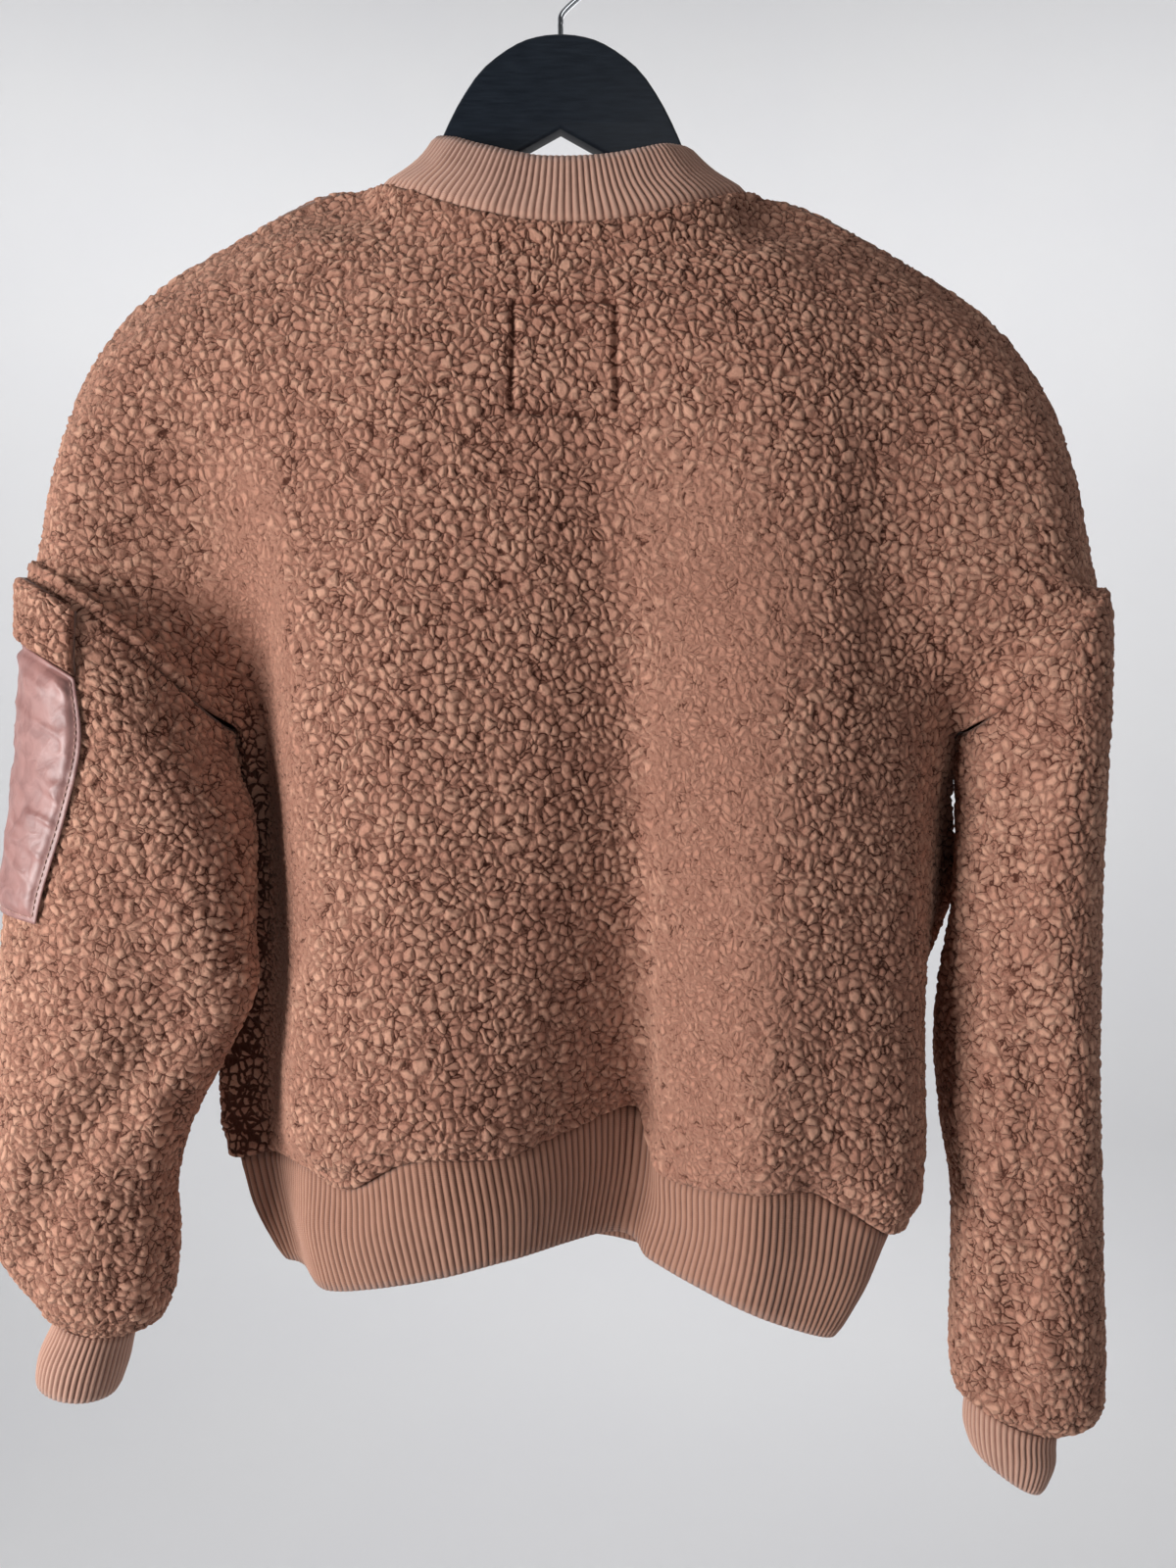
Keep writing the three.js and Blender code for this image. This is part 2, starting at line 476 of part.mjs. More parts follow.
// A wall between an outer and an inner grid; ring walls have equal first and last columns
function wallBody(outer, inner, ring, topBlocks, lowBlocks = topBlocks, measure = [outer, inner]) {
  const body = new Body();
  const last = outer.length - 1;
  for (let r = 0; r < last; r += 1) {
    for (let c = 0; c + 1 < outer[r].length; c += 1) {
      body.quad(outer[r][c], outer[r + 1][c], outer[r + 1][c + 1], outer[r][c + 1]);
    }
    for (let c = 0; c + 1 < inner[r].length; c += 1) {
      body.quad(inner[r][c], inner[r][c + 1], inner[r + 1][c + 1], inner[r + 1][c]);
    }
  }
  body.rim(outer[0], inner[0], topBlocks, false, measure.map((grid) => grid[0]));
  body.rim(outer[last], inner[last], lowBlocks, true, measure.map((grid) => grid[last]));
  if (!ring) {
    const ends = evenBlocks(outer.length, 1);
    const column = (grid, c) => grid.map((row) => row[c < 0 ? row.length - 1 : c]);
    for (const c of [0, -1]) {
      const measured = measure.map((grid) => column(grid, c));
      body.rim(column(outer, c), column(inner, c), ends, c === 0, measured);
    }
  }
  return body;
}

// Draws the border rows and columns of a grid inwards by the seam pull
function pullGrid(grid, ring, pull = SEAM_PULL) {
  const toward = (p, q) => p.clone().add(q.clone().sub(p).setLength(pull));
  const out = grid.map((row) => row.map((p) => p.clone()));
  const last = grid.length - 1;
  out[0] = grid[0].map((p, c) => toward(p, grid[1][c]));
  out[last] = grid[last].map((p, c) => toward(p, grid[last - 1][c]));
  if (!ring) {
    for (const row of out) {
      const e = row.length - 1;
      [row[0], row[e]] = [toward(row[0], row[1]), toward(row[e], row[e - 1])];
    }
  }
  return out;
}

// A fleece wall: the pile dips along its seams and the inside is plain
function fleece(grid, ring = false) {
  const last = grid.length - 1;
  const isBorder = (r, c) => r === 0 || r === last
    || (!ring && (c === 0 || c === grid[r].length - 1));
  const outer = grid.map((row, r) => row.map((p, c) => (
    p.clone().addScaledVector(normalAt(p), isBorder(r, c) ? -SEAM_DIP : 0))));
  const inner = grid.map((row) => row.map((p) => p.clone().addScaledVector(normalAt(p), -WALL)));
  return [outer, inner];
}

// Grids of the carrier surface
const sleeveRows = levels(0, SLEEVE_END);

function sleeveGrid(name, rows) {
  const grid = rows.map((k) => columns(SLEEVE_COLUMNS).map((c) => (
    sleevePoint(name, k, (c % SLEEVE_COLUMNS) * (360 / SLEEVE_COLUMNS)))));
  if (rows[0] === 0) {
    for (let c = 1; c < SLEEVE_COLUMNS; c += 2) {
      grid[0][c] = grid[0][c - 1].clone().lerp(grid[0][c + 1], 0.5);
    }
  }
  return name === 'left' ? grid : grid.map((row) => [...row].reverse());
}

const bodyRows = [...levels(NECK, HEM_SEAM - 1), HEM_PUFF, HEM_SEAM];
const carrier = {
  back: bodyRows.map((t) => columns(BACK_COLUMNS).map((c) => backPoint(c, t))),
  frontLeft: bodyRows.map((t) => columns(FRONT_COLUMNS).map((c) => (
    frontPoint(-1, c / FRONT_COLUMNS, t)))),
  frontRight: bodyRows.map((t) => columns(FRONT_COLUMNS).map((c) => (
    frontPoint(1, 1 - c / FRONT_COLUMNS, t)))),
  left: sleeveGrid('left', sleeveRows),
  right: sleeveGrid('right', sleeveRows),
};

// One row of the whole body from the zip round the back to the zip again
function wholeRow(t) {
  const back = columns(BACK_COLUMNS).map((c) => backPoint(c, t));
  const left = columns(FRONT_COLUMNS).map((c) => frontPoint(-1, c / FRONT_COLUMNS, t));
  const right = columns(FRONT_COLUMNS).map((c) => frontPoint(1, 1 - c / FRONT_COLUMNS, t));
  return [...left, ...back.slice(1), ...right.slice(1)];
}

const hemCarrier = levels(HEM_SEAM, HEM_EDGE).map(wholeRow);
const collarCarrier = levels(COLLAR_TOP, NECK).map(wholeRow);
const cuffCarrier = {
  left: sleeveGrid('left', levels(SLEEVE_END, CUFF_END)),
  right: sleeveGrid('right', levels(SLEEVE_END, CUFF_END)),
};
for (const grid of [...Object.values(carrier), hemCarrier, collarCarrier,
  cuffCarrier.left, cuffCarrier.right]) addNormals(grid);
for (const name of ['left', 'right']) {
  const row = carrier[name][0];
  for (let c = 1; c < SLEEVE_COLUMNS; c += 2) {
    const n = normalAt(row[c - 1]).add(normalAt(row[c + 1])).normalize();
    normalSums.set(keyOf(row[c]), n);
  }
}

// The ring ends of a closed sleeve row share one normal
function weldRing(grid) {
  for (const row of grid) row[row.length - 1] = row[0];
}
for (const grid of [carrier.left, carrier.right, cuffCarrier.left, cuffCarrier.right]) {
  weldRing(grid);
}

const materials = {};
function material(name, color, roughness, metalness = 0) {
  materials[name] = new THREE.MeshStandardMaterial({ name, color, roughness, metalness });
}
material('fleece', FLEECE, 0.95);
material('rib', RIB, 0.9);
material('satin', SATIN, 0.45);
material('wood', WOOD, 0.4);
material('steel', STEEL, 0.2, 1);
material('brass', BRASS, 0.35, 1);

const part = new THREE.Group();
part.name = 'teddy_fleece_jacket';

function add(name, geometry, slot) {
  const mesh = new THREE.Mesh(geometry, materials[slot]);
  mesh.name = name;
  part.add(mesh);
}

function addFleece(name, grid, ring) {
  const pull = ring ? SLEEVE_PULL : SEAM_PULL;
  const walls = fleece(grid, ring);
  const [outer, inner] = walls.map((g) => pullGrid(g, ring, pull));
  const count = outer[0].length;
  const top = evenBlocks(count, ring ? 2 : 1);
  const body = wallBody(outer, inner, ring, top, evenBlocks(count, 1), walls);
  add(name, body.geometry(), 'fleece');
}

addFleece('back', carrier.back, false);
addFleece('front_left', carrier.frontLeft, false);
addFleece('front_right', carrier.frontRight, false);
addFleece('sleeve_left', carrier.left, true);
addFleece('sleeve_right', carrier.right, true);

// The sum of some points, each times its share
function blend(...terms) {
  return terms.reduce((sum, [p, share]) => sum.addScaledVector(p, share), vec(0, 0, 0));
}

// A point of the rim of a fleece wall between two of its columns, f along it
function rimPoint(p0, n0, p1, n1, f, depth) {
  const at = (p, n, d) => p.clone().addScaledVector(n, -d);
  const [a0, a1] = [at(p0, n0, SEAM_DIP), at(p1, n1, SEAM_DIP)];
  const [b0, b1] = [at(p0, n0, WALL), at(p1, n1, WALL)];
  const g = (depth - SEAM_DIP) / (WALL - SEAM_DIP);
  if (cutsFirst(a0, a1, b0, b1)) {
    if (f >= g) return blend([a0, 1 - f], [a1, f - g], [b1, g]);
    return blend([a0, 1 - g], [b0, g - f], [b1, f]);
  }
  if (f + g <= 1) return blend([a0, 1 - f - g], [a1, f], [b0, g]);
  return blend([a1, 1 - g], [b0, 1 - f], [b1, f + g - 1]);
}

// A rib band: ribs are raised in its outer points, its inside is plain.
// counts gives the ribs of each column of the carrier row, seam its sewn row.
function ribBand(grid, counts, ring, bow, seam) {
  const normals = grid.map((row) => row.map(normalAt));
  const outer = [];
  const inner = [];
  grid.forEach((row, r) => {
    const swell = bow * (r > 0 && r < grid.length - 1 ? 1 : 0);
    const place = (c, f, depth) => {
      const [p0, p1] = [row[c], row[c + 1]];
      const [n0, n1] = [normals[r][c], normals[r][c + 1]];
      if (r === seam) return rimPoint(p0, n0, p1, n1, f, depth);
      return p0.clone().lerp(p1, f).addScaledVector(n0.clone().lerp(n1, f), swell - depth);
    };
    const out = [];
    const inn = [];
    for (let c = 0; c + 1 < row.length; c += 1) {
      const steps = counts[c] * 2;
      for (let i = 0; i < steps; i += 1) {
        out.push(place(c, i / steps, RIB_OUT + (i % 2 ? RIB_RISE : 0)));
      }
      inn.push(place(c, 0, RIB_OUT + RIB_WALL));
    }
    const e = row.length - 2;
    out.push(ring ? out[0] : place(e, 1, RIB_OUT));
    inn.push(ring ? inn[0] : place(e, 1, RIB_OUT + RIB_WALL));
    outer.push(out);
    inner.push(inn);
  });
  let sum = 0;
  const blocks = [0, ...counts.map((n) => { sum += n * 2; return sum; })]
    .map((out, inn) => ({ out, inn }));
  return wallBody(pullGrid(outer, ring, RIB_PULL), pullGrid(inner, ring, RIB_PULL), ring, blocks);
}

// Shares a whole number of ribs among the columns of a row, by their length
function shareRibs(row, pitch) {
  let carried = 0;
  return row.slice(1).map((p, i) => {
    carried += p.distanceTo(row[i]) / pitch;
    const n = Math.max(Math.round(carried), 1);
    carried -= n;
    return n;
  });
}

const HEM_PITCH = 4.4;
const COLLAR_PITCH = 3.9;
const CUFF_PITCH = 3.9;
for (const [name, grid, pitch, ring, bow, seam] of [
  ['hem_rib', hemCarrier, HEM_PITCH, false, 1.2, 0],
  ['collar_rib', collarCarrier, COLLAR_PITCH, false, 0.4, 2],
  ['cuff_left', cuffCarrier.left, CUFF_PITCH, true, 0.8, 0],
  ['cuff_right', cuffCarrier.right, CUFF_PITCH, true, 0.8, 0],
]) {
  const band = ribBand(grid, shareRibs(grid[1], pitch), ring, bow, seam);
  add(name, band.geometry(), 'rib');
}

// What lies on the left sleeve is made from its points, moved out
function onSleeve(top, low, wall) {
  const rows = [top, ...levels(Math.ceil(top), Math.floor(low)), low];
  const [skin] = fleece(carrier.left, true);
  const at = (k, c) => {
    const column = (c + SLEEVE_COLUMNS) % SLEEVE_COLUMNS;
    const r = Math.min(Math.floor(k), SLEEVE_END - 1);
    const p = skin[r][column].clone().lerp(skin[r + 1][column], k - r);
    const n = normalAt(carrier.left[r][column])
      .lerp(normalAt(carrier.left[r + 1][column]), k - r).normalize();
    return [p, n];
  };
  const build = (lift) => rows.map((k) => levels(POCKET.from, POCKET.to).map((c) => {
    const [p, n] = at(k, c);
    return p.addScaledVector(n, lift);
  }));
  const blocks = evenBlocks(POCKET.to - POCKET.from + 1, 1);
  return wallBody(build(POCKET_LIFT + wall), build(POCKET_LIFT), false, blocks).geometry();
}
add('pocket_flap', onSleeve(POCKET.flapTop, POCKET.flapLow, FLAP_WALL), 'fleece');
add('pocket_panel', onSleeve(POCKET.panelTop, POCKET.panelLow, PANEL_WALL), 'satin');

// Zip: a line down the front and frames that stand on it
const ZIP_LEVELS = levels(COLLAR_TOP, HEM_EDGE);
function zipFrame(t) {
  const at = (v) => {
    const a = frontPoint(-1, 0, v);
    const b = frontPoint(1, 0, v);
    return a.lerp(b, 0.5);
  };
  const low = Math.min(t + 0.25, HEM_EDGE);
  const high = Math.max(t - 0.25, COLLAR_TOP);
  const down = at(low).sub(at(high)).normalize();
  const p = at(t);
  p.x = FRONT_X;
  down.x = 0;
  down.normalize();
  return { p, out: vec(1, 0, 0).cross(down), down };
}

function zipStrip(x0, x1, d0, d1, from, to) {
  const rows = [from, ...ZIP_LEVELS.filter((t) => t > from && t < to), to];
  const side = (depth, xs) => rows.map((t) => {
    const { p, out } = zipFrame(t);
    return xs.map((x) => p.clone().addScaledVector(out, -depth).add(vec(x, 0, 0)));
  });
  const blocks = evenBlocks(2, 1);
  return wallBody(side(d0, [x1, x0]), side(d1, [x1, x0]), false, blocks).geometry();
}
const TAPE = { from: 1.3, to: 6.7, outer: 4.2, inner: 5.2 };
const CHAIN = { half: 2.6, outer: 2.2, inner: 3.9 };
const SLIDER_LEVEL = -1.62;
const SLIDER = { half: 4.3, tall: 5.5, outer: 0.5, plate: 1.4, back: 5.5, backPlate: 1.2 };
add('zip_tape_left', zipStrip(-TAPE.to, -TAPE.from, TAPE.outer, TAPE.inner, -2, 24), 'satin');
add('zip_tape_right', zipStrip(TAPE.from, TAPE.to, TAPE.outer, TAPE.inner, -2, 24), 'satin');
add('zip_chain', zipStrip(-CHAIN.half, CHAIN.half, CHAIN.outer, CHAIN.inner, -1.6, 23.9), 'brass');

// Solids joined in the zip's own frame: x across, y outward, z up
function box(x0, x1, y0, y1, z0, z1) {
  return wasm.Manifold.cube([x1 - x0, y1 - y0, z1 - z0]).translate([x0, y0, z0]);
}

function toGeometry(solid) {
  const mesh = solid.getMesh();
  const geometry = new THREE.BufferGeometry();
  const flat = new Float32Array(mesh.numVert * 3);
  for (let i = 0; i < mesh.numVert; i += 1) {
    for (let j = 0; j < 3; j += 1) flat[i * 3 + j] = mesh.vertProperties[i * mesh.numProp + j];
  }
  geometry.setAttribute('position', new THREE.BufferAttribute(flat, 3));
  geometry.setIndex(Array.from(mesh.triVerts));
  geometry.computeVertexNormals();
  return geometry;
}

const frame = zipFrame(SLIDER_LEVEL);
const stand = new THREE.Matrix4().makeBasis(vec(1, 0, 0), frame.out, frame.down.clone().negate());
stand.setPosition(frame.p);
const BRIDGE = { half: 1.8, reach: 2.5, post: 1.0, top: 3.1, lintel: 1.0 };
const AXIS_OUT = 0.8;
const plate = (back, face) => (
  box(-SLIDER.half, SLIDER.half, back, face, -SLIDER.tall, SLIDER.tall));
const slider = wasm.Manifold.union([
  plate(-SLIDER.outer - SLIDER.plate, -SLIDER.outer),
  plate(-SLIDER.back - SLIDER.backPlate, -SLIDER.back),
  box(-1, 1, -SLIDER.back - 0.2, -SLIDER.outer - 0.2, 3.0, SLIDER.tall),
  box(-BRIDGE.half, BRIDGE.half, -SLIDER.outer - 0.3, BRIDGE.top, 1.5, 1.5 + BRIDGE.post),
  box(-BRIDGE.half, BRIDGE.half, -SLIDER.outer - 0.3, BRIDGE.top, -2.5, -1.5),
  box(-BRIDGE.half, BRIDGE.half, BRIDGE.top - BRIDGE.lintel, BRIDGE.top, -2.5, 2.5),
]);
add('zip_slider', toGeometry(slider).applyMatrix4(stand), 'brass');

const TAB = { half: 4.2, window: 2.7, bar: 0.65, open: 4.6, length: 24 };
const y0 = AXIS_OUT - TAB.bar;
const y1 = AXIS_OUT + TAB.bar;
const tab = box(-TAB.half, TAB.half, y0, y1, -TAB.length, TAB.bar)
  .subtract(box(-TAB.window, TAB.window, y0 - 1, y1 + 1, -TAB.open, -TAB.bar));
add('zip_pull', toGeometry(tab).applyMatrix4(stand), 'brass');

// Hanger
function halfOutline(side) {
  return [...WOOD_TOP, ...WOOD_LOW].map(([x, z]) => [side * x, z]);
}
const outline = [
  ...halfOutline(1),
  ...halfOutline(-1).slice(1, -1).reverse(),
];
const shape = new THREE.Shape(outline.map(([x, z]) => new THREE.Vector2(x, z)).reverse());
const wood = new THREE.ExtrudeGeometry(shape, {
  depth: WOOD_THICK - 3, bevelEnabled: true, bevelThickness: 1.5, bevelSize: 1.2,
  bevelOffset: -1.2, bevelSegments: 1,
});
wood.translate(0, 0, -(WOOD_THICK - 3) / 2).rotateX(Math.PI / 2);
add('hanger_wood', wood, 'wood');

const wire = HOOK_WIRE / 2;
const centreZ = wire - HOOK_RADIUS;
const path = [vec(0, 0, WOOD_TOP[0][1] + 0.25), vec(0, 0, -56), vec(1.5, 0, -49)];
for (let a = -52; a <= 205; a += 18) {
  path.push(vec(HOOK_RADIUS * Math.cos(a * DEG), 0, centreZ + HOOK_RADIUS * Math.sin(a * DEG)));
}
const circle = new THREE.Shape();
circle.absarc(0, 0, wire, 0, Math.PI * 2);
const hook = new THREE.ExtrudeGeometry(circle, {
  steps: 28, curveSegments: 4, extrudePath: new THREE.CatmullRomCurve3(path), bevelEnabled: false,
});
add('hanger_hook', hook, 'steel');

export default part;
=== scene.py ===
"""Teddy fleece jacket on a wooden hanger, dressed on its CAD frame."""

import json
import logging
import math
from collections.abc import Callable, Sequence
from dataclasses import dataclass, field
from enum import Enum
from functools import partial

import bmesh
import bpy
import numpy as np
from mathutils import Matrix, Vector

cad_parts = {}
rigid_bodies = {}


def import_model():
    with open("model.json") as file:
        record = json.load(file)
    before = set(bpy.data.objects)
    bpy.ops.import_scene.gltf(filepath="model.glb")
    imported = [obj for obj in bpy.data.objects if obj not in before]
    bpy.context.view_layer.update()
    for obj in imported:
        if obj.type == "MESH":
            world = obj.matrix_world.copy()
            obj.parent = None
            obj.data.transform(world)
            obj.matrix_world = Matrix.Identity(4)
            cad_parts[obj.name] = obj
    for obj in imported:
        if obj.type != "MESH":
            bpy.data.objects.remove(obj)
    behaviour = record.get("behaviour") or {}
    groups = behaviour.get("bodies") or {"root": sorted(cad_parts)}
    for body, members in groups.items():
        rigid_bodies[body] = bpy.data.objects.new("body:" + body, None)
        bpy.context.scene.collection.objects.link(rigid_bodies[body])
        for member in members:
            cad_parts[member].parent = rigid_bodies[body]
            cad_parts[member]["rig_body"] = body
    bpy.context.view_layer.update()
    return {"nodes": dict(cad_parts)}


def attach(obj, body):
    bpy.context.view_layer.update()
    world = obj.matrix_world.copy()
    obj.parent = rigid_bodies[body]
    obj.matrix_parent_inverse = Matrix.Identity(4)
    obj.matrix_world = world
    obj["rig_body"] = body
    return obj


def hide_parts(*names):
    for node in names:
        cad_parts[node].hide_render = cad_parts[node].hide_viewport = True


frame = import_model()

LOG = logging.getLogger("jacket")
MM = 0.001
BODY = "jacket"
TAB_BODY = "pull_tab"
Socket = bpy.types.NodeSocket
WAVE = 0.32  # scale at which the wave texture has one band for each unit

# Sizes of the form, in millimetres, the same as those of the CAD part
NECK, ARM_TOP, ARM_LOW, HEM_SEAM, HEM_EDGE, COLLAR_TOP = 0, 8, 14, 22, 24, -2
WALL = 6.6
RIB_OUT = 2.2
ZIP_HALF = 7.0
FRONT_X = 4.0
SLEEVE_END, CUFF_END = 12, 14
ROLL_REACH = 12.0  # distance from the ridge at which the cloth falls off most
HEM_REACH = 220.0  # how far the side lines are from the middle at the hem
MIDDLE_COLUMN = 16  # column of the back's middle; its side lines are 0 and twice this


class Side(Enum):
    """The two sides of the jacket, as its back is seen."""

    LEFT = -1
    RIGHT = 1


# x and z of the long creases down the back of each sleeve, and their half widths
SLEEVE_CREASES = {
    Side.LEFT: (
        (((-222, -712), (-231, -758), (-236, -800), (-240, -840)), 4.0),
    ),
    Side.RIGHT: (
        (((226, -722), (246, -775), (262, -814), (273, -868)), 4.5),
    ),
}

def table(keys: str, rows: Sequence[Sequence[float]]) -> dict[str, np.ndarray]:
    """Returns the named columns of a table."""
    return dict(zip(keys.split(), np.array(rows, float).T))


SIDES = table("t xL yL zL xR yR zR back front yF", [
    (-2, -81, -2, -128, 82, -2, -134, -28, -74, 60),
    (-1, -93, 0, -145, 97, 0, -149, -34, -82, 66),
    (0, -114, 0, -157, 119, 0, -161, -42, -90, 73),
    (1, -150, 0, -161, 151, 0, -168, -53, -98, 80),
    (2, -189, 0, -182, 189, 0, -188, -48, -92, 85),
    (3.5, -251, 0, -220, 247, 0, -223, -39, -78, 91),
    (5, -288, 0, -260, 288, 0, -261, -31, -58, 96),
    (6.5, -312, -2, -319, 317, 0, -318, -16, -32, 101),
    (8, -326, -4, -393, 336, 0, -409, -4, -8, 105),
    (14, -200, 5, -495, 244, 0, -498, 0, 0, 108),
    (15, -213, 22, -525, 246, 24, -530, 0, 0, 109),
    (16.5, -224, 46, -570, 256, 50, -575, 0, 0, 111),
    (18, -230, 58, -610, 230, 34, -650, 0, 0, 112),
    (21.4, -228, 52, -750, 222, 10, -772, 0, 0, 111),
    (22, -216, 46, -774, 208, 7, -797, 0, 0, 101),
    (23, -202, 42, -803, 193, 4, -826, 0, 0, 93),
    (24, -184, 34, -834, 176, 0, -853, 0, 0, 82),
])
LINE_COLUMNS = np.array([0, 2, 5, 8, 13, 16, 18, 20, 23, 26, 28, 30, 32], float)
# x and y of the lines that run down the back: left arm bulge, recess, edge, crest and slope
# of the left fold, valley, brow, crest, dip and flank of the right fold, right arm bulge
BACK_LINES = table("t ax ay rx ry ex ey cx cy sx sy vx vy wx wy dx dy qx qy fx fy bx by", [
    (-2, -77, -14, -69, -24, -59, -32, -32, -41, -12, -43, 4, -44, 18, -43.5, 36, -41, 52, -37,
     65, -30, 78, -14),
    (-1, -89, -15, -80, -26, -69, -35, -38, -45, -14, -47, 4, -48, 20, -47.5, 42, -45, 60, -40,
     76, -32, 92, -15),
    (0, -109, -15, -98, -27, -84, -36, -46, -48, -17, -50.5, 4, -51, 23, -50.5, 51, -48, 73, -43,
     93, -33, 113, -15),
    (2, -172, -21, -146, -35, -118, -42, -62, -54, -20, -57, 6, -58, 30, -58, 66, -56, 100, -51,
     130, -43, 170, -21),
    (5, -262, -31, -208, -40, -160, -50, -88, -63, -24, -61, 18, -57, 48, -59, 98, -65, 142, -61,
     184, -50, 258, -31),
    (8, -289, -38, -206, -22, -157, -49, -92, -66, -20, -62, 28, -51, 56, -56, 108, -70, 156, -65,
     196, -50, 292, -46),
    (11, -236, -28, -193, -5, -158, -48, -94, -68, -18, -60, 34, -47, 60, -54, 110, -71, 158, -65,
     202, -46, 262, -42),
    (14, -197, -4, -185, 4, -159, -42, -95, -68, -16, -58, 38, -41, 62, -52, 110, -71, 158, -65,
     204, -42, 236, -10),
    (18, -224, 46, -190, 36, -158, -34, -94, -67, -20, -55, 42, -26, 62, -42, 108, -71, 156, -64,
     202, -44, 224, -12),
    (21.4, -222, 42, -190, 32, -157, -34, -88, -66, -26, -54, 45, -4, 61, -30, 106, -70, 152, -62,
     198, -52, 220, -16),
    (22, -211, 38, -186, 27, -150, -24, -84, -56, -26, -44, 45, 8, 59, -18, 106, -60, 148, -52,
     188, -42, 205, -10),
    (23, -200, 34, -178, 24, -148, -30, -78, -58, -22, -46, 42, 4, 60, -18, 104, -58, 144, -52,
     178, -40, 189, -12),
    (24, -181, 24, -166, 12, -140, -34, -72, -54, -22, -44, 35, -2, 52, -18, 98, -54, 136, -48,
     163, -36, 172, -14),
])
HEM_Z = table("column seam edge", [
    (0, -774, -834),
    (2, -773, -833),
    (5, -766, -832),
    (8, -761, -829),
    (10, -767, -824),
    (13, -746, -815),
    (16, -746, -806),
    (18, -731, -806),
    (20, -764, -816),
    (23, -764, -829),
    (26, -766, -846),
    (28, -791, -857),
    (30, -802, -857),
    (32, -803, -853),
])
FRONT_DROP = (12.0, 6.0)
ROLL = 8.0  # how far the cloth falls off behind and before the ridge of the shoulders
FRONT_FOLDS = table("top low width chest hem", [
    (-150, -120, 26, -3, -16),
    (-78, -58, 24, 2, 10),
    (92, 70, 25, -2, -14),
    (165, 138, 28, 3, 12),
])
RING_KEYS = "k xO zO yO xI zI yI depth turn rise"
RINGS = {
    Side.LEFT: table(RING_KEYS, [
        (0, -326, -393, -4, -200, -495, 5, 50, 0, 12),
        (1, -325, -434, -6, -203, -519, -10, 51, 3, 8),
        (2, -325, -480, -8, -190, -547, -20, 50, 4, 3),
        (3, -328, -532, -10, -185, -582, -26, 49, -4, 0),
        (4, -335, -586, -12, -182, -616, -28, 48, -13, 0),
        (5, -340, -640, -12, -180, -650, -26, 46, -20, 0),
        (6, -343, -690, -12, -197, -690, -22, 45, -24, 0),
        (7, -344, -735, -10, -219, -728, -16, 44, -26, 0),
        (8, -344, -774, -8, -234, -768, -10, 43, -26, 0),
        (9, -340, -806, -6, -235, -808, -6, 42, -26, 0),
        (10, -331, -828, -4, -238, -838, -4, 39, -26, 0),
        (11, -321, -844, -3, -247, -858, -3, 33, -26, 0),
        (12, -313, -853, -2, -261, -866, -2, 27, -26, 0),
        (13, -321, -874, -2, -267, -886, -2, 28, -26, 0),
        (14, -325, -893, -2, -272, -904, -2, 27, -26, 0),
    ]),
    Side.RIGHT: table(RING_KEYS, [
        (0, 336, -409, 0, 244, -498, 0, 60, 0, 4),
        (1, 335, -442, -2, 250, -520, -3, 62, 0, 2),
        (2, 333, -482, -3, 250, -550, -4, 63, 0, 0),
        (3, 330, -528, -4, 247, -582, -4, 63, 0, 0),
        (4, 328, -577, -4, 245, -617, -2, 62, 0, 0),
        (5, 328, -627, -4, 241, -652, 4, 60, 0, 0),
        (6, 328, -682, -4, 236, -692, 8, 57, 0, 0),
        (7, 329, -736, -4, 238, -735, 4, 54, 0, 0),
        (8, 331, -788, -3, 243, -780, -2, 50, 0, 0),
        (9, 333, -836, -2, 243, -830, -2, 46, 0, 0),
        (10, 335, -884, -1, 242, -874, 0, 43, 0, 0),
        (11, 332, -915, 0, 244, -900, 0, 36, 0, 0),
        (12, 310, -928, 0, 249, -908, 0, 28, 0, 0),
        (13, 306, -946, 0, 250, -925, 0, 29, 0, 0),
        (14, 300, -963, 0, 254, -942, 0, 27, 0, 0),
    ]),
}
SLEEVE_FOLDS = {
    Side.LEFT: table("ring angle slant length width depth", [
        (7.2, 120, -16, 2.6, 22, 9),
        (8.6, 66, -12, 2.2, 20, -5),
        (4.6, 128, 10, 1.8, 18, 5),
        (6.5, 236, 14, 2.4, 24, 8),
        (9.4, 280, -8, 1.8, 22, 6),
    ]),
    Side.RIGHT: table("ring angle slant length width depth", [
        (9.2, 118, 7, 2.6, 20, 9),
        (6.2, 96, -12, 1.8, 22, 6),
        (3.4, 134, 12, 2.2, 18, 6),
        (5.2, 232, 14, 2.4, 24, 8),
        (9.0, 262, -10, 1.8, 22, 7),
    ]),
}


def spline(knots: np.ndarray, values: np.ndarray, at: np.ndarray) -> np.ndarray:
    """Smooth curve through values at uneven knots.

    Args:
        knots: rising places of the values.
        values: one value, or one row of values, for each knot.
        at: where to read the curve.

    Returns:
        One value or row for each place.
    """
    at = np.clip(np.asarray(at, float), knots[0], knots[-1])
    i = np.clip(np.searchsorted(knots, at, side="right") - 1, 0, len(knots) - 2)
    low = np.maximum(np.arange(len(knots)) - 1, 0)
    high = np.minimum(np.arange(len(knots)) + 1, len(knots) - 1)
    wide = (slice(None),) + (None,) * (values.ndim - 1)
    slope = (values[high] - values[low]) / (knots[high] - knots[low])[wide]
    h = (knots[i + 1] - knots[i])[wide]
    f = ((at - knots[i]) / (knots[i + 1] - knots[i]))[wide]
    return (
        (2 * f**3 - 3 * f**2 + 1) * values[i] + (f**3 - 2 * f**2 + f) * h * slope[i]
        + (3 * f**2 - 2 * f**3) * values[i + 1] + (f**3 - f**2) * h * slope[i + 1]
    )


def mix(a: np.ndarray, b: np.ndarray, f: np.ndarray) -> np.ndarray:
    """Returns a at f 0 and b at f 1."""
    return a + (b - a) * f


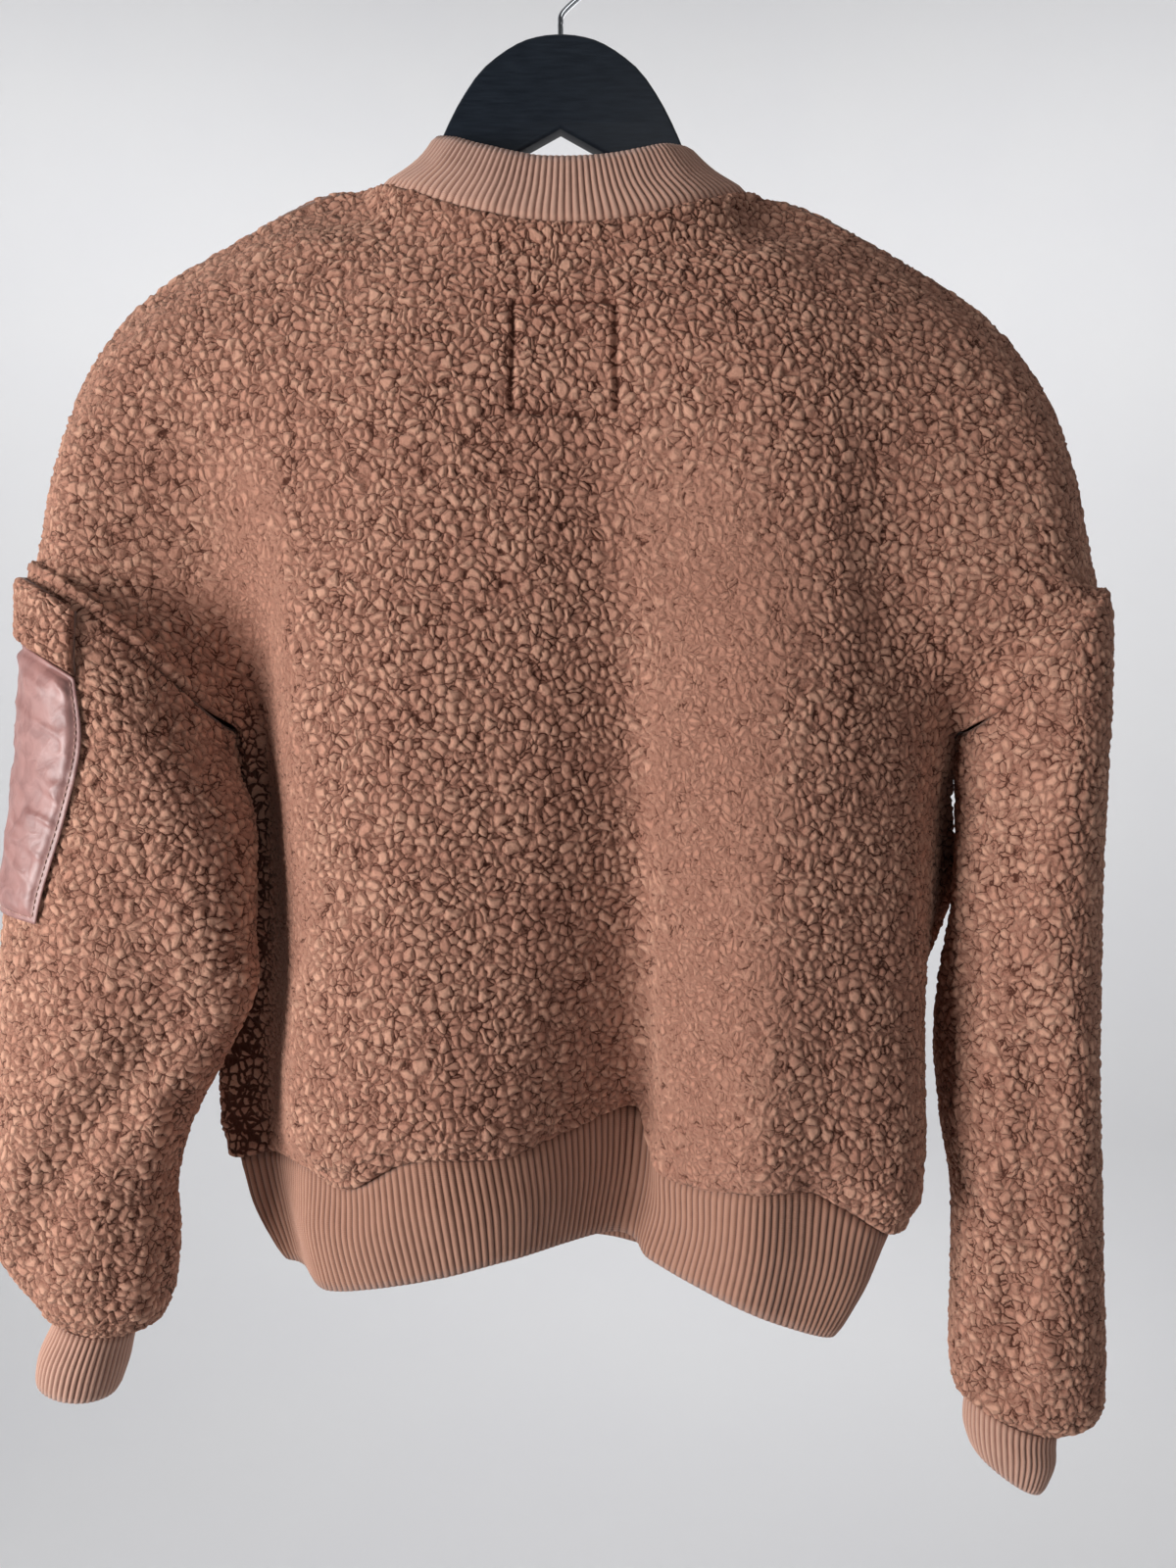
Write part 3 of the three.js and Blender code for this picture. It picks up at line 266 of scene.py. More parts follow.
def ramp(x: np.ndarray, low: float, high: float) -> np.ndarray:
    """Returns a smooth rise from 0 at low to 1 at high."""
    f = np.clip((x - low) / (high - low), 0, 1)
    return f * f * (3 - 2 * f)


def path_distance(points: np.ndarray, path: np.ndarray) -> np.ndarray:
    """Returns how far each point is, seen from the back, from a path of x and z."""
    seen = points[..., [0, 2]]
    near = np.full(seen.shape[:-1], 1e9)
    for a, b in zip(path[:-1], path[1:]):
        f = np.clip(((seen - a) @ (b - a)) / ((b - a) @ (b - a)), 0, 1)
        near = np.minimum(near, np.linalg.norm(seen - a - f[..., None] * (b - a), axis=-1))
    return near


def arm_turn(t: np.ndarray) -> np.ndarray:
    """Returns the angle round the armhole, 0 at its top and pi below the arm."""
    return (t - ARM_TOP) / (ARM_LOW - ARM_TOP) * np.pi


def fall(t: np.ndarray, under: np.ndarray, seam: np.ndarray, edge: np.ndarray) -> np.ndarray:
    """Returns heights below the arm from those of the underarm, hem seam and hem edge."""
    low = mix(under, seam, (t - ARM_LOW) / (HEM_SEAM - ARM_LOW))
    band = mix(seam, edge, (t - HEM_SEAM) / (HEM_EDGE - HEM_SEAM))
    return np.where(t <= HEM_SEAM, low, band)


class Form:
    """The smooth form of the jacket; every method returns points in millimetres."""

    MEAN_Z = (SIDES["zL"] + SIDES["zR"]) / 2
    TIP = int(np.flatnonzero(SIDES["t"] == ARM_TOP)[0])
    SEAM_Z = float(HEM_Z["seam"][0] + HEM_Z["seam"][-1]) / 2
    EDGE_Z = float(HEM_Z["edge"][0] + HEM_Z["edge"][-1]) / 2

    def height(self, t: np.ndarray) -> np.ndarray:
        """Returns the mean height of each level."""
        t = np.atleast_1d(np.asarray(t, float))
        cut = self.TIP + 1
        top, under = self.MEAN_Z[cut - 1], self.MEAN_Z[cut]
        turn = (1 - np.cos(arm_turn(t))) / 2
        z = np.where(t < ARM_LOW, mix(top, under, turn), 0.0)
        z = np.where(t <= ARM_TOP, spline(SIDES["t"][:cut], self.MEAN_Z[:cut], t), z)
        return np.where(t >= ARM_LOW, fall(t, under, self.SEAM_Z, self.EDGE_Z), z)

    def by_height(self, rows: dict[str, np.ndarray], key: str, t: np.ndarray) -> np.ndarray:
        """Returns a column of a table, read by the height of the levels."""
        return spline(-self.height(rows["t"]), rows[key], -self.height(t))

    def side(self, t: np.ndarray, side: Side, face: int) -> np.ndarray:
        """Returns the side line of the body at each level; face -1 is the back."""
        t = np.atleast_1d(np.asarray(t, float))
        key = "L" if side is Side.LEFT else "R"
        out = np.zeros((len(t), 3))
        cut = self.TIP + 1
        for i, axis in enumerate("xyz"):
            column = SIDES[axis + key]
            upper = spline(SIDES["t"][:cut], column[:cut], t)
            lower = spline(SIDES["t"][cut:], column[cut:], t)
            out[:, i] = np.where(t <= ARM_TOP, upper, lower)
        arm = (t > ARM_TOP) & (t < ARM_LOW)
        angle = arm_turn(t[arm])
        ring = {k: v[0] for k, v in RINGS[side].items()}
        f = (1 - np.cos(angle)) / 2
        out[arm, 0] = mix(ring["xO"], ring["xI"], f)
        out[arm, 1] = mix(ring["yO"], ring["yI"], f) + face * ring["depth"] * np.sin(angle)
        out[arm, 2] = mix(ring["zO"], ring["zI"], f) + ring["rise"] * np.sin(angle) ** 2
        return out

    def back(self, columns: np.ndarray, t: np.ndarray) -> np.ndarray:
        """Returns the grid of the back, a row for each level."""
        left, right = self.side(t, Side.LEFT, -1), self.side(t, Side.RIGHT, -1)
        x, y = (spline(LINE_COLUMNS, np.stack([
            left[:, i], *(self.by_height(BACK_LINES, line + axis, t) for line in "arecsvwdqfb"),
            right[:, i]]), columns).T for i, axis in enumerate("xy"))
        across = np.clip((x - left[:, :1]) / (right[:, :1] - left[:, :1]), 0, 1)
        sag = self.by_height(SIDES, "back", t)[:, None] * (1 - (2 * across - 1) ** 2)
        upper = mix(left[:, 2:], right[:, 2:], across) + sag
        upper = upper - self.roll(t, y - mix(left[:, 1:2], right[:, 1:2], across))
        under = mix(SIDES["zL"][self.TIP + 1], SIDES["zR"][self.TIP + 1], across)
        seam = spline(HEM_Z["column"], HEM_Z["seam"], columns)[None]
        edge = spline(HEM_Z["column"], HEM_Z["edge"], columns)[None]
        level = np.asarray(t, float)[:, None]
        z = np.where(level <= ARM_LOW, upper, fall(level, under, seam, edge))
        return np.stack([x, y, z], -1)

    @staticmethod
    def roll(t: np.ndarray, off: np.ndarray) -> np.ndarray:
        """Returns how far the shoulder has fallen at a distance from its ridge."""
        t = np.asarray(t, float)[:, None]
        fade = np.clip(t / 1.5, 0, 1) * np.clip((ARM_TOP - t) / 3, 0, 1)
        return ROLL * fade * (1 - np.exp(-((off / ROLL_REACH) ** 2)))

    def side_z(self, t: np.ndarray, side: Side) -> np.ndarray:
        """Returns the height of a side line below the underarm."""
        i = 0 if side is Side.LEFT else -1
        under = SIDES["zL" if side is Side.LEFT else "zR"][self.TIP + 1]
        return fall(t, under, HEM_Z["seam"][i], HEM_Z["edge"][i])

    def front(self, side: Side, f: np.ndarray, t: np.ndarray) -> np.ndarray:
        """Returns the grid of a front; f is 0 at the zip and 1 at the side."""
        t = np.asarray(t, float)
        end = self.side(t, side, 1)
        reach = np.abs(end[:, 0] - FRONT_X)[:, None]
        turn = mix(np.arcsin(np.minimum(ZIP_HALF / reach, 1)), np.pi / 2, np.asarray(f)[None])
        x = FRONT_X + side.value * reach * np.sin(turn)
        cos = np.maximum(np.cos(turn), 0)
        arm = (t > ARM_TOP) & (t < ARM_LOW)
        opening = np.where(arm, np.sin(arm_turn(t)), 0)[:, None]
        y = mix(end[:, 1:2], self.by_height(SIDES, "yF", t)[:, None], cos ** (1 + 0.5 * opening))
        high = self.height([2.0])[0]
        low = np.clip((self.height(t) - high) / (self.SEAM_Z - high), 0, 1)[:, None]
        calm = np.clip((t - 2) / 4, 0, 1)[:, None] * cos**0.5
        for top, bottom, width, chest, hem in zip(*FRONT_FOLDS.values()):
            at = (x - mix(top, bottom, low)) / width
            y = y + calm * mix(chest, hem, low**1.5) * np.exp(-at * at)
        upper = end[:, 2:] + self.by_height(SIDES, "front", t)[:, None] * cos**2
        upper = upper - self.roll(t, y - end[:, 1:2])
        level = t[:, None]
        drop = mix(FRONT_DROP[0], FRONT_DROP[1], np.maximum(level - HEM_SEAM, 0) / 2)
        rise = drop * np.minimum((level - ARM_LOW) / (HEM_SEAM - ARM_LOW), 1) * cos
        z0, z1 = (self.side_z(level, s) for s in Side)
        here = self.side_z(level, side)
        lower = mix(here, mix(z0, z1, (x + HEM_REACH) / (2 * HEM_REACH)), cos) + rise
        return np.stack([x, y, np.where(level <= ARM_LOW, upper, lower)], -1)

    def around(self, w: np.ndarray, t: np.ndarray) -> np.ndarray:
        """Returns a band round the body; w is 0 and 4 at the zip, 1 and 3 at the sides."""
        w = np.asarray(w, float)
        back = self.back((w - 1) * MIDDLE_COLUMN, t)
        left = self.front(Side.LEFT, np.clip(w, 0, 1), t)
        right = self.front(Side.RIGHT, np.clip(4 - w, 0, 1), t)
        place = w[None, :, None]
        return np.where(place < 1, left, np.where(place > 3, right, back))

    def sleeve(self, side: Side, angles: np.ndarray, k: np.ndarray) -> np.ndarray:
        """Returns the grid of a sleeve, angles in degrees from its outer line."""
        rings = RINGS[side]
        k = np.asarray(k, float)
        get = {key: spline(rings["k"], rings[key], k)[:, None] for key in rings}
        angle = np.asarray(angles, float)[None]
        around = np.radians(angle + get["turn"])
        c, s = np.cos(around), np.sin(around)
        level = k[:, None]
        fade = np.clip(np.minimum(level / 1.5, (SLEEVE_END - level) / 1.5), 0, 1)
        grow = 0 * around
        for ring, mid, slant, length, width, depth in zip(*SLEEVE_FOLDS[side].values()):
            off = (angle - mid - slant * (level - ring) + 540) % 360 - 180
            grow = grow - fade * depth * np.exp(-((level - ring) / length) ** 2
                                                - (off / width) ** 2)
        f = (1 - c) / 2
        outward = -side.value
        x = mix(get["xO"], get["xI"], f) - outward * grow * c
        y = mix(get["yO"], get["yI"], f) - (get["depth"] + grow) * s
        z = mix(get["zO"], get["zI"], f) + get["rise"] * s**2
        return np.stack([x, y, z + 0 * x], -1)


FORM = Form()


def hashed(cells: np.ndarray, seed: int) -> np.ndarray:
    """Returns an even random number from 0 to 1 for each whole-number cell."""
    c = cells.astype(np.int64).astype(np.uint32)
    h = c[..., 0] * np.uint32(73856093) ^ c[..., 1] * np.uint32(19349663)
    h = h ^ c[..., 2] * np.uint32(83492791) ^ np.uint32((seed * 2654435761) & 0xFFFFFFFF)
    for shift, factor in ((16, 0x7FEB352D), (15, 0x846CA68B), (16, 1)):
        h = (h ^ (h >> np.uint32(shift))) * np.uint32(factor)
    return h.astype(np.float64) / 4294967296.0


def noise(points: np.ndarray, size: float, seed: int) -> np.ndarray:
    """Returns soft value noise from -1 to 1 with features of that size."""
    p = points / size
    base = np.floor(p)
    f = p - base
    f = f * f * (3 - 2 * f)
    total = np.zeros(p.shape[:-1])
    for corner in np.ndindex(2, 2, 2):
        weight = np.prod(np.where(np.array(corner), f, 1 - f), -1)
        total += weight * hashed(base + np.array(corner), seed)
    return total * 2 - 1


def read_cells(vectors: np.ndarray) -> tuple[np.ndarray, np.ndarray]:
    """Reads Blender's cell texture, so that a mesh and its material share one pattern.

    Args:
        vectors: places in units of the cell size.

    Returns:
        The distance from the border of the cell, and the cell's number from 0 to 1.
    """
    points = vectors.reshape(-1, 3).astype(np.float32)
    mesh = bpy.data.meshes.new("probe")
    mesh.vertices.add(len(points))
    mesh.vertices.foreach_set("co", points.reshape(-1))
    item = bpy.data.objects.new("probe", mesh)
    bpy.context.scene.collection.objects.link(item)
    tree = bpy.data.node_groups.new("probe", "GeometryNodeTree")
    for way in ("INPUT", "OUTPUT"):
        tree.interface.new_socket("Geometry", in_out=way, socket_type="NodeSocketGeometry")
    start, end = (tree.nodes.new("NodeGroup" + kind) for kind in ("Input", "Output"))
    place = tree.nodes.new("GeometryNodeInputPosition")
    flow = start.outputs[0]
    for name, feature, kind, socket in (("far", "DISTANCE_TO_EDGE", "FLOAT", "Distance"),
                                        ("number", "F1", "FLOAT_VECTOR", "Color")):
        cell = tree.nodes.new("ShaderNodeTexVoronoi")
        cell.feature = feature
        cell.inputs["Scale"].default_value = 1.0
        tree.links.new(place.outputs[0], cell.inputs["Vector"])
        store = tree.nodes.new("GeometryNodeStoreNamedAttribute")
        store.data_type = kind
        store.inputs["Name"].default_value = name
        tree.links.new(flow, store.inputs["Geometry"])
        tree.links.new(cell.outputs[socket], store.inputs["Value"])
        flow = store.outputs[0]
    tree.links.new(flow, end.inputs[0])
    item.modifiers.new("probe", "NODES").node_group = tree
    read = item.evaluated_get(bpy.context.evaluated_depsgraph_get()).data.attributes
    far, number = np.empty(len(points), np.float32), np.empty(len(points) * 3, np.float32)
    read["far"].data.foreach_get("value", far)
    read["number"].data.foreach_get("vector", number)
    bpy.data.objects.remove(item)
    bpy.data.meshes.remove(mesh)
    bpy.data.node_groups.remove(tree)
    size = vectors.shape[:-1]
    return far.reshape(size).astype(float), number[::3].reshape(size).astype(float)


@dataclass(frozen=True)
class Pile:
    """The curled teddy pile: soft lumps of fibre with narrow dark gaps between them."""

    lump: float = 5.8  # mm between the middles of two lumps
    tight: float = 1.4  # how many times smaller they are where the cloth is drawn tight
    hook: float = 2.9  # mm between the faint hooks of fibre on a lump
    rise: float = 3.4  # mm from gap to crest
    side: float = 0.24  # of a lump, how far its rounded side reaches in from the gap
    clump: float = 26.0  # mm, size of the spots where the pile is fuller or paler
    warps: tuple = ((9.0, 2.3, 11), (4.0, 1.2, 21))  # size and reach in mm, and seed

    def relief(self, points: np.ndarray, tight: np.ndarray) -> tuple[np.ndarray, ...]:
        """Works out the pile at some places.

        Args:
            points: places in millimetres.
            tight: from 0 where the lumps are full to 1 where they are small.

        Returns:
            The height of the pile from 0 to about 1, a tone, and the vectors of the cells.
        """
        warp = sum(reach * np.stack([noise(points, size, seed + i) for i in range(3)], -1)
                   for size, reach, seed in self.warps)
        weave = (points + warp) / self.lump
        far, number = read_cells(weave)
        near, other = read_cells(weave * self.tight)
        far, number = mix(far, near, tight), mix(number, other, tight)
        edge = np.clip(far / self.side, 0, 1)
        dome = np.sqrt(np.maximum(1 - (1 - edge) ** 2, 0))
        hooks, grain = read_cells((points + 1.3 * warp) / self.hook)
        hooks = ramp(hooks, 0.0, 0.15)
        clump = noise(points, self.clump, 61)
        height = dome * (0.74 + 0.24 * number + 0.1 * clump) * (0.88 + 0.12 * hooks)
        tone = 0.5 * number + 0.2 * grain + 0.3 * (clump + 1) / 2
        return height, tone, weave


def grid_normals(points: np.ndarray, ring: bool) -> np.ndarray:
    """Returns unit normals of a grid; a ring's first and last columns are the same."""
    if ring:
        wide = np.concatenate([points[:, -2:-1], points, points[:, 1:2]], 1)
        across = (wide[:, 2:] - wide[:, :-2]) / 2
    else:
        across = np.gradient(points, axis=1)
    n = np.cross(np.gradient(points, axis=0), across)
    size = np.linalg.norm(n, axis=-1, keepdims=True)
    return n / np.maximum(size, 1e-9)


def steps_along(points: np.ndarray, axis: int) -> np.ndarray:
    """Returns the mean distance run along a grid up to each of its rows or columns."""
    step = np.linalg.norm(np.diff(points, axis=axis), axis=-1)
    return np.concatenate([[0], np.cumsum(step.mean(1 - axis))])


def even(surface: Callable, u: tuple[float, float], v: tuple[float, float],
         counts: tuple[int, int]) -> tuple[np.ndarray, np.ndarray]:
    """Spreads parameters so that a surface's grid is about evenly spaced.

    Args:
        surface: returns the grid for parameters u and v.
        u: first and last u, across.
        v: first and last v, down.
        counts: how many points across and down.

    Returns:
        The parameters across and down.
    """
    us, vs = np.linspace(*u, 121), np.linspace(*v, 161)
    coarse = surface(us, vs)
    run_u, run_v = steps_along(coarse, 1), steps_along(coarse, 0)
    return (np.interp(np.linspace(0, run_u[-1], counts[0]), run_u, us),
            np.interp(np.linspace(0, run_v[-1], counts[1]), run_v, vs))


def edge_distance(points: np.ndarray, ring: bool) -> np.ndarray:
    """Returns about how far each point of a grid is from its border, in millimetres."""
    down = np.linalg.norm(np.diff(points, axis=0), axis=-1)
    down = np.concatenate([np.zeros((1, points.shape[1])), np.cumsum(down, 0)])
    near = np.minimum(down, down[-1:] - down)
    if ring:
        return near
    over = np.linalg.norm(np.diff(points, axis=1), axis=-1)
    over = np.concatenate([np.zeros((points.shape[0], 1)), np.cumsum(over, 1)], 1)
    return np.minimum(near, np.minimum(over, over[:, -1:] - over))


class Surface:
    """Gathers grids into one mesh object."""

    def __init__(self, name: str) -> None:
        """Starts an empty mesh."""
        self.name = name
        self.points: list[np.ndarray] = []
        self.quads: list[np.ndarray] = []
        self.slots: list[np.ndarray] = []
        self.values: dict[str, list[np.ndarray]] = {}
        self.count = 0

    def add(self, points: np.ndarray, faces: np.ndarray, slot: int = 0,
            **values: np.ndarray) -> int:
        """Adds points and faces of four, and returns the number of the first point."""
        start = self.count
        self.points.append(points.reshape(-1, 3))
        self.quads.append(faces + start)
        self.slots.append(np.full(len(faces), slot))
        size = points.reshape(-1, 3).shape[0]
        for key in set(self.values) | set(values):
            column = self.values.setdefault(key, [np.zeros(start)] if start else [])
            given = values.get(key)
            column.append(np.zeros(size) if given is None else np.asarray(given).reshape(-1))
        self.count += size
        return start

    def grid(self, points: np.ndarray, flip: bool = False, slot: int = 0,
             **values: np.ndarray) -> int:
        """Adds a grid of points as a skin that faces out when its rows run down."""
        rows, cols = points.shape[:2]
        i = (np.arange(rows - 1)[:, None] * cols + np.arange(cols - 1)).reshape(-1)
        faces = np.stack([i, i + cols, i + cols + 1, i + 1], -1)
        return self.add(points, faces[:, ::-1] if flip else faces, slot, **values)

    def wall(self, outer: np.ndarray, inner: np.ndarray, ring: bool, slots: tuple[int, int],
             **values: np.ndarray) -> None:
        """Adds a closed wall between an outer and an inner grid of the same size."""
        rows, cols = outer.shape[:2]
        a = self.grid(outer, False, slots[0], **values)
        b = self.grid(inner, True, slots[1], **values)
        at = np.arange(rows * cols).reshape(rows, cols)
        loops = [at[0], at[-1][::-1]]
        if not ring:
            loops = [np.concatenate([at[0], at[1:, -1], at[-1, -2::-1], at[-2::-1, 0]])]
        for loop in loops:
            p, q = loop[:-1], loop[1:]
            faces = np.stack([a + p, a + q, b + q, b + p], -1)
            self.quads.append(faces)
            self.slots.append(np.full(len(faces), slots[1]))

    def build(self, materials: Sequence[bpy.types.Material], body: str = BODY,
              weld: bool = False) -> bpy.types.Object:
        """Makes the object in metres, smooth shaded, riding on a CAD body."""
        mesh = bpy.data.meshes.new(self.name)
        points = np.concatenate(self.points) * MM
        quads = np.concatenate(self.quads)
        mesh.vertices.add(len(points))
        mesh.vertices.foreach_set("co", points.astype(np.float32).reshape(-1))
        mesh.loops.add(quads.size)
        mesh.loops.foreach_set("vertex_index", quads.astype(np.int32).reshape(-1))
        mesh.polygons.add(len(quads))
        mesh.polygons.foreach_set("loop_start", np.arange(0, quads.size, 4, dtype=np.int32))
        mesh.polygons.foreach_set("material_index", np.concatenate(self.slots).astype(np.int32))
        mesh.polygons.foreach_set("use_smooth", np.ones(len(quads), bool))
        for key, parts in self.values.items():
            layer = mesh.attributes.new(key, "FLOAT", "POINT")
            layer.data.foreach_set("value", np.concatenate(parts).astype(np.float32))
        for material in materials:
            mesh.materials.append(material)
        mesh.update()
        mesh.validate()
        item = bpy.data.objects.new(self.name, mesh)
        bpy.context.scene.collection.objects.link(item)
        if weld:
            weld_points(item)
        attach(item, body)
        return item


def weld_points(item: bpy.types.Object) -> None:
    """Joins points that lie on each other."""
    work = bmesh.new()
    work.from_mesh(item.data)
    bmesh.ops.remove_doubles(work, verts=work.verts, dist=1e-6)
    work.to_mesh(item.data)
    work.free()


# Materials


def linear(code: str) -> tuple[float, float, float, float]:
    """Returns the linear colour of an sRGB hex code."""
    parts = [int(code[i:i + 2], 16) / 255 for i in (1, 3, 5)]
    return (*(c / 12.92 if c <= 0.04045 else ((c + 0.055) / 1.055) ** 2.4 for c in parts), 1.0)


def put(tree: bpy.types.NodeTree, kind: str, inputs: dict | None = None,
        **settings: object) -> bpy.types.Node:
    """Adds one node with its settings, its input values and its links.

    Args:
        tree: the material's node tree.
        kind: the node's type name without ShaderNode.
        inputs: value or output socket for each input, by name or number.
        settings: properties of the node.

    Returns:
        The node.
    """
    made = tree.nodes.new("ShaderNode" + kind)
    for key, value in settings.items():
        setattr(made, key, value)
    for key, value in (inputs or {}).items():
        socket = made.inputs[key]
        if isinstance(value, Socket):
            tree.links.new(value, socket)
        else:
            socket.default_value = value
    return made


class Graph:
    """A new material, with short ways to add the nodes that the finishes share."""

    def __init__(self, name: str) -> None:
        """Starts an empty material."""
        self.material = bpy.data.materials.new(name)
        self.material.use_nodes = True
        self.tree = self.material.node_tree
        self.tree.nodes.clear()
        self.out = put(self.tree, "OutputMaterial")
        self.place = put(self.tree, "TexCoord").outputs["Object"]

    def stored(self, name: str) -> Socket:
        """Returns what the mesh stores under a name."""
        return put(self.tree, "Attribute", attribute_name=name).outputs["Fac"]

    def math(self, operation: str, *values: Socket | float) -> Socket:
        """Returns the result of one operation."""
        return put(self.tree, "Math", dict(enumerate(values)), operation=operation).outputs[0]

    def plus(self, base: Socket | float, share: float, value: Socket) -> Socket:
        """Returns the base with a share of a value added."""
        return self.math("MULTIPLY_ADD", value, share, base)

    def noise(self, size_mm: float, detail: float, out: str = "Fac", **more: float) -> Socket:
        """Returns soft noise with features of about that size."""
        return put(self.tree, "TexNoise", {"Vector": self.place, "Scale": 1 / (size_mm * MM),
                                           "Detail": detail, **more}).outputs[out]

    def span(self, value: Socket, low: float, high: float, ease: str = "SMOOTHSTEP") -> Socket:
        """Returns 0 at the low value and 1 at the high one."""
        return put(self.tree, "MapRange", {0: value, 1: low, 2: high},
                   interpolation_type=ease).outputs[0]

    def ramp(self, factor: Socket, stops: Sequence[tuple[float, str]]) -> Socket:
        """Returns a colour that runs through the stops, given as place and hex code."""
        made = put(self.tree, "ValToRGB", {0: factor})
        band = made.color_ramp
        while len(band.elements) < len(stops):
            band.elements.new(0.5)
        for element, (place, code) in zip(band.elements, stops):
            element.position = place
            element.color = linear(code)
        return made.outputs[0]

    def blend(self, factor: Socket, first: object, second: object) -> Socket:
        """Returns the first colour at factor 0 and the second at 1."""
        return put(self.tree, "Mix", {0: factor, 6: first, 7: second},
                   data_type="RGBA").outputs[2]

    def bump(self, height: Socket, strength: float, depth_mm: float,
             under: Socket | None = None) -> Socket:
        """Returns the normal of a relief, laid over another one if that is given."""
        inputs = {"Strength": strength, "Distance": depth_mm * MM, "Height": height}
        return put(self.tree, "Bump",
                   inputs if under is None else {**inputs, "Normal": under}).outputs[0]

    def finish(self, inputs: dict[str, object]) -> bpy.types.Material:
        """Adds the surface shader and returns the material."""
        shader = put(self.tree, "BsdfPrincipled", inputs)
        self.tree.links.new(shader.outputs[0], self.out.inputs[0])
        return self.material


@dataclass(frozen=True)
class TeddyPile:
    """Curled polyester pile, sheared and tumbled into lumps."""

    # Painted shade: the gap colour darkens the gaps between the lumps, and the low to high ramp is
    # darker down the lumps' sides and paler on their crests
    gap: str = "#4e2b21"
    low: str = "#a26e5c"
    mid: str = "#bb8772"
    high: str = "#c99881"
    fibre_mm: float = 0.42  # fine fibre grain that breaks up the highlights
    curl_mm: float = 1.4  # small hooks of fibre on a lump
    gap_width: float = 0.08  # of a lump, the dark gap between two of them
    round_off: float = 0.3  # of a lump, how far its rounded side reaches in from the gap
    bend_mm: float = 2.6  # how closely the gaps wind
    bend: float = 0.26  # of a lump, how far they wind
    close_mm: float = 8.0  # size of the spots where lumps touch and hide the gap
    close: float = 0.26

    def make(self, name: str) -> bpy.types.Material:
        """Returns the material."""
        g = Graph(name)
        axes = (g.stored("weave_" + axis) for axis in "xyz")
        weave = put(g.tree, "CombineXYZ", dict(enumerate(axes))).outputs[0]
        fibre = g.noise(self.fibre_mm, 3.0, Roughness=0.65)
        curl = g.noise(self.curl_mm, 2.0, Distortion=1.2)
        winding = g.noise(self.bend_mm, 1.0, "Color")
        turned = put(g.tree, "VectorMath", {0: winding, 1: (self.bend,) * 3, 2: weave},
                     operation="MULTIPLY_ADD").outputs[0]
        weave = put(g.tree, "VectorMath", {0: turned, 1: (-self.bend / 2,) * 3},
                    operation="ADD").outputs[0]
        wide, small = (put(g.tree, "TexVoronoi", {"Vector": weave, "Scale": scale},
                           feature="DISTANCE_TO_EDGE").outputs["Distance"]
                       for scale in (1.0, Pile().tight))
        far = put(g.tree, "Mix", {0: g.stored("tight"), 2: wide, 3: small},
                  data_type="FLOAT").outputs[0]
        grain, hooks = g.math("ADD", fibre, -0.5), g.math("ADD", curl, -0.5)
        # The colour runs from painted shade low on the lumps to painted light on their crests, and
        # is mottled by fibres and hooks
        crest = g.plus(g.plus(g.stored("height"), 0.45, grain), 0.45, hooks)
        body = g.ramp(g.plus(crest, 0.2, g.stored("tone")),
                      [(0.3, self.low), (0.8, self.mid), (1.0, self.high)])
        # The gap, painted dark as shade between the lumps, is frayed by fibres and closes here and
        # there
        frayed = g.plus(g.plus(far, 0.12, grain), 0.08, hooks)
        shut = g.plus(-0.125, self.close, g.noise(self.close_mm, 2.0))
        gap = g.math("ADD", g.math("ADD", frayed, shut), g.stored("open"))
        colour = g.blend(g.span(gap, -0.01, self.gap_width), linear(self.gap), body)
        lumps = g.bump(g.span(gap, 0.0, self.round_off), 0.8, 1.1)
        fine = g.bump(fibre, 0.7, 0.22, g.bump(curl, 0.6, 0.7, lumps))
        return g.finish({
            "Base Color": colour, "Roughness": 0.95, "IOR": 1.46, "Specular IOR Level": 0.12,
            "Sheen Weight": 0.35, "Sheen Roughness": 0.55, "Sheen Tint": linear("#e2c3ae"),
            "Normal": fine})


@dataclass(frozen=True)
class KnitBacking:
    """Fine jersey back of the fleece, seen inside the jacket."""

    colour: str = "#9a7260"
    shade: str = "#6f4f42"
    stitch_mm: float = 1.1  # rows of small loops, which read as a fine grid

    def make(self, name: str) -> bpy.types.Material:
        """Returns the material."""
        g = Graph(name)
        scale = WAVE / (self.stitch_mm * MM)
        shape = {"Vector": g.place, "Scale": scale, "Distortion": 0.8, "Detail": 1.0}
        rows = put(g.tree, "TexWave", {**shape, "Detail Scale": 2.0},
                   bands_direction="Z").outputs["Fac"]
        columns = put(g.tree, "TexWave", shape, bands_direction="X").outputs["Fac"]
        loops = g.math("MULTIPLY", rows, columns)
        soft = g.noise(1000 / 60, 3.0)
        colour = g.ramp(g.plus(loops, 0.5, soft), [(0.15, self.shade), (0.75, self.colour)])
        return g.finish({
            "Base Color": colour, "Roughness": 0.9, "IOR": 1.46, "Specular IOR Level": 0.2,
            "Sheen Weight": 0.2, "Normal": g.bump(loops, 0.5, 0.25)})


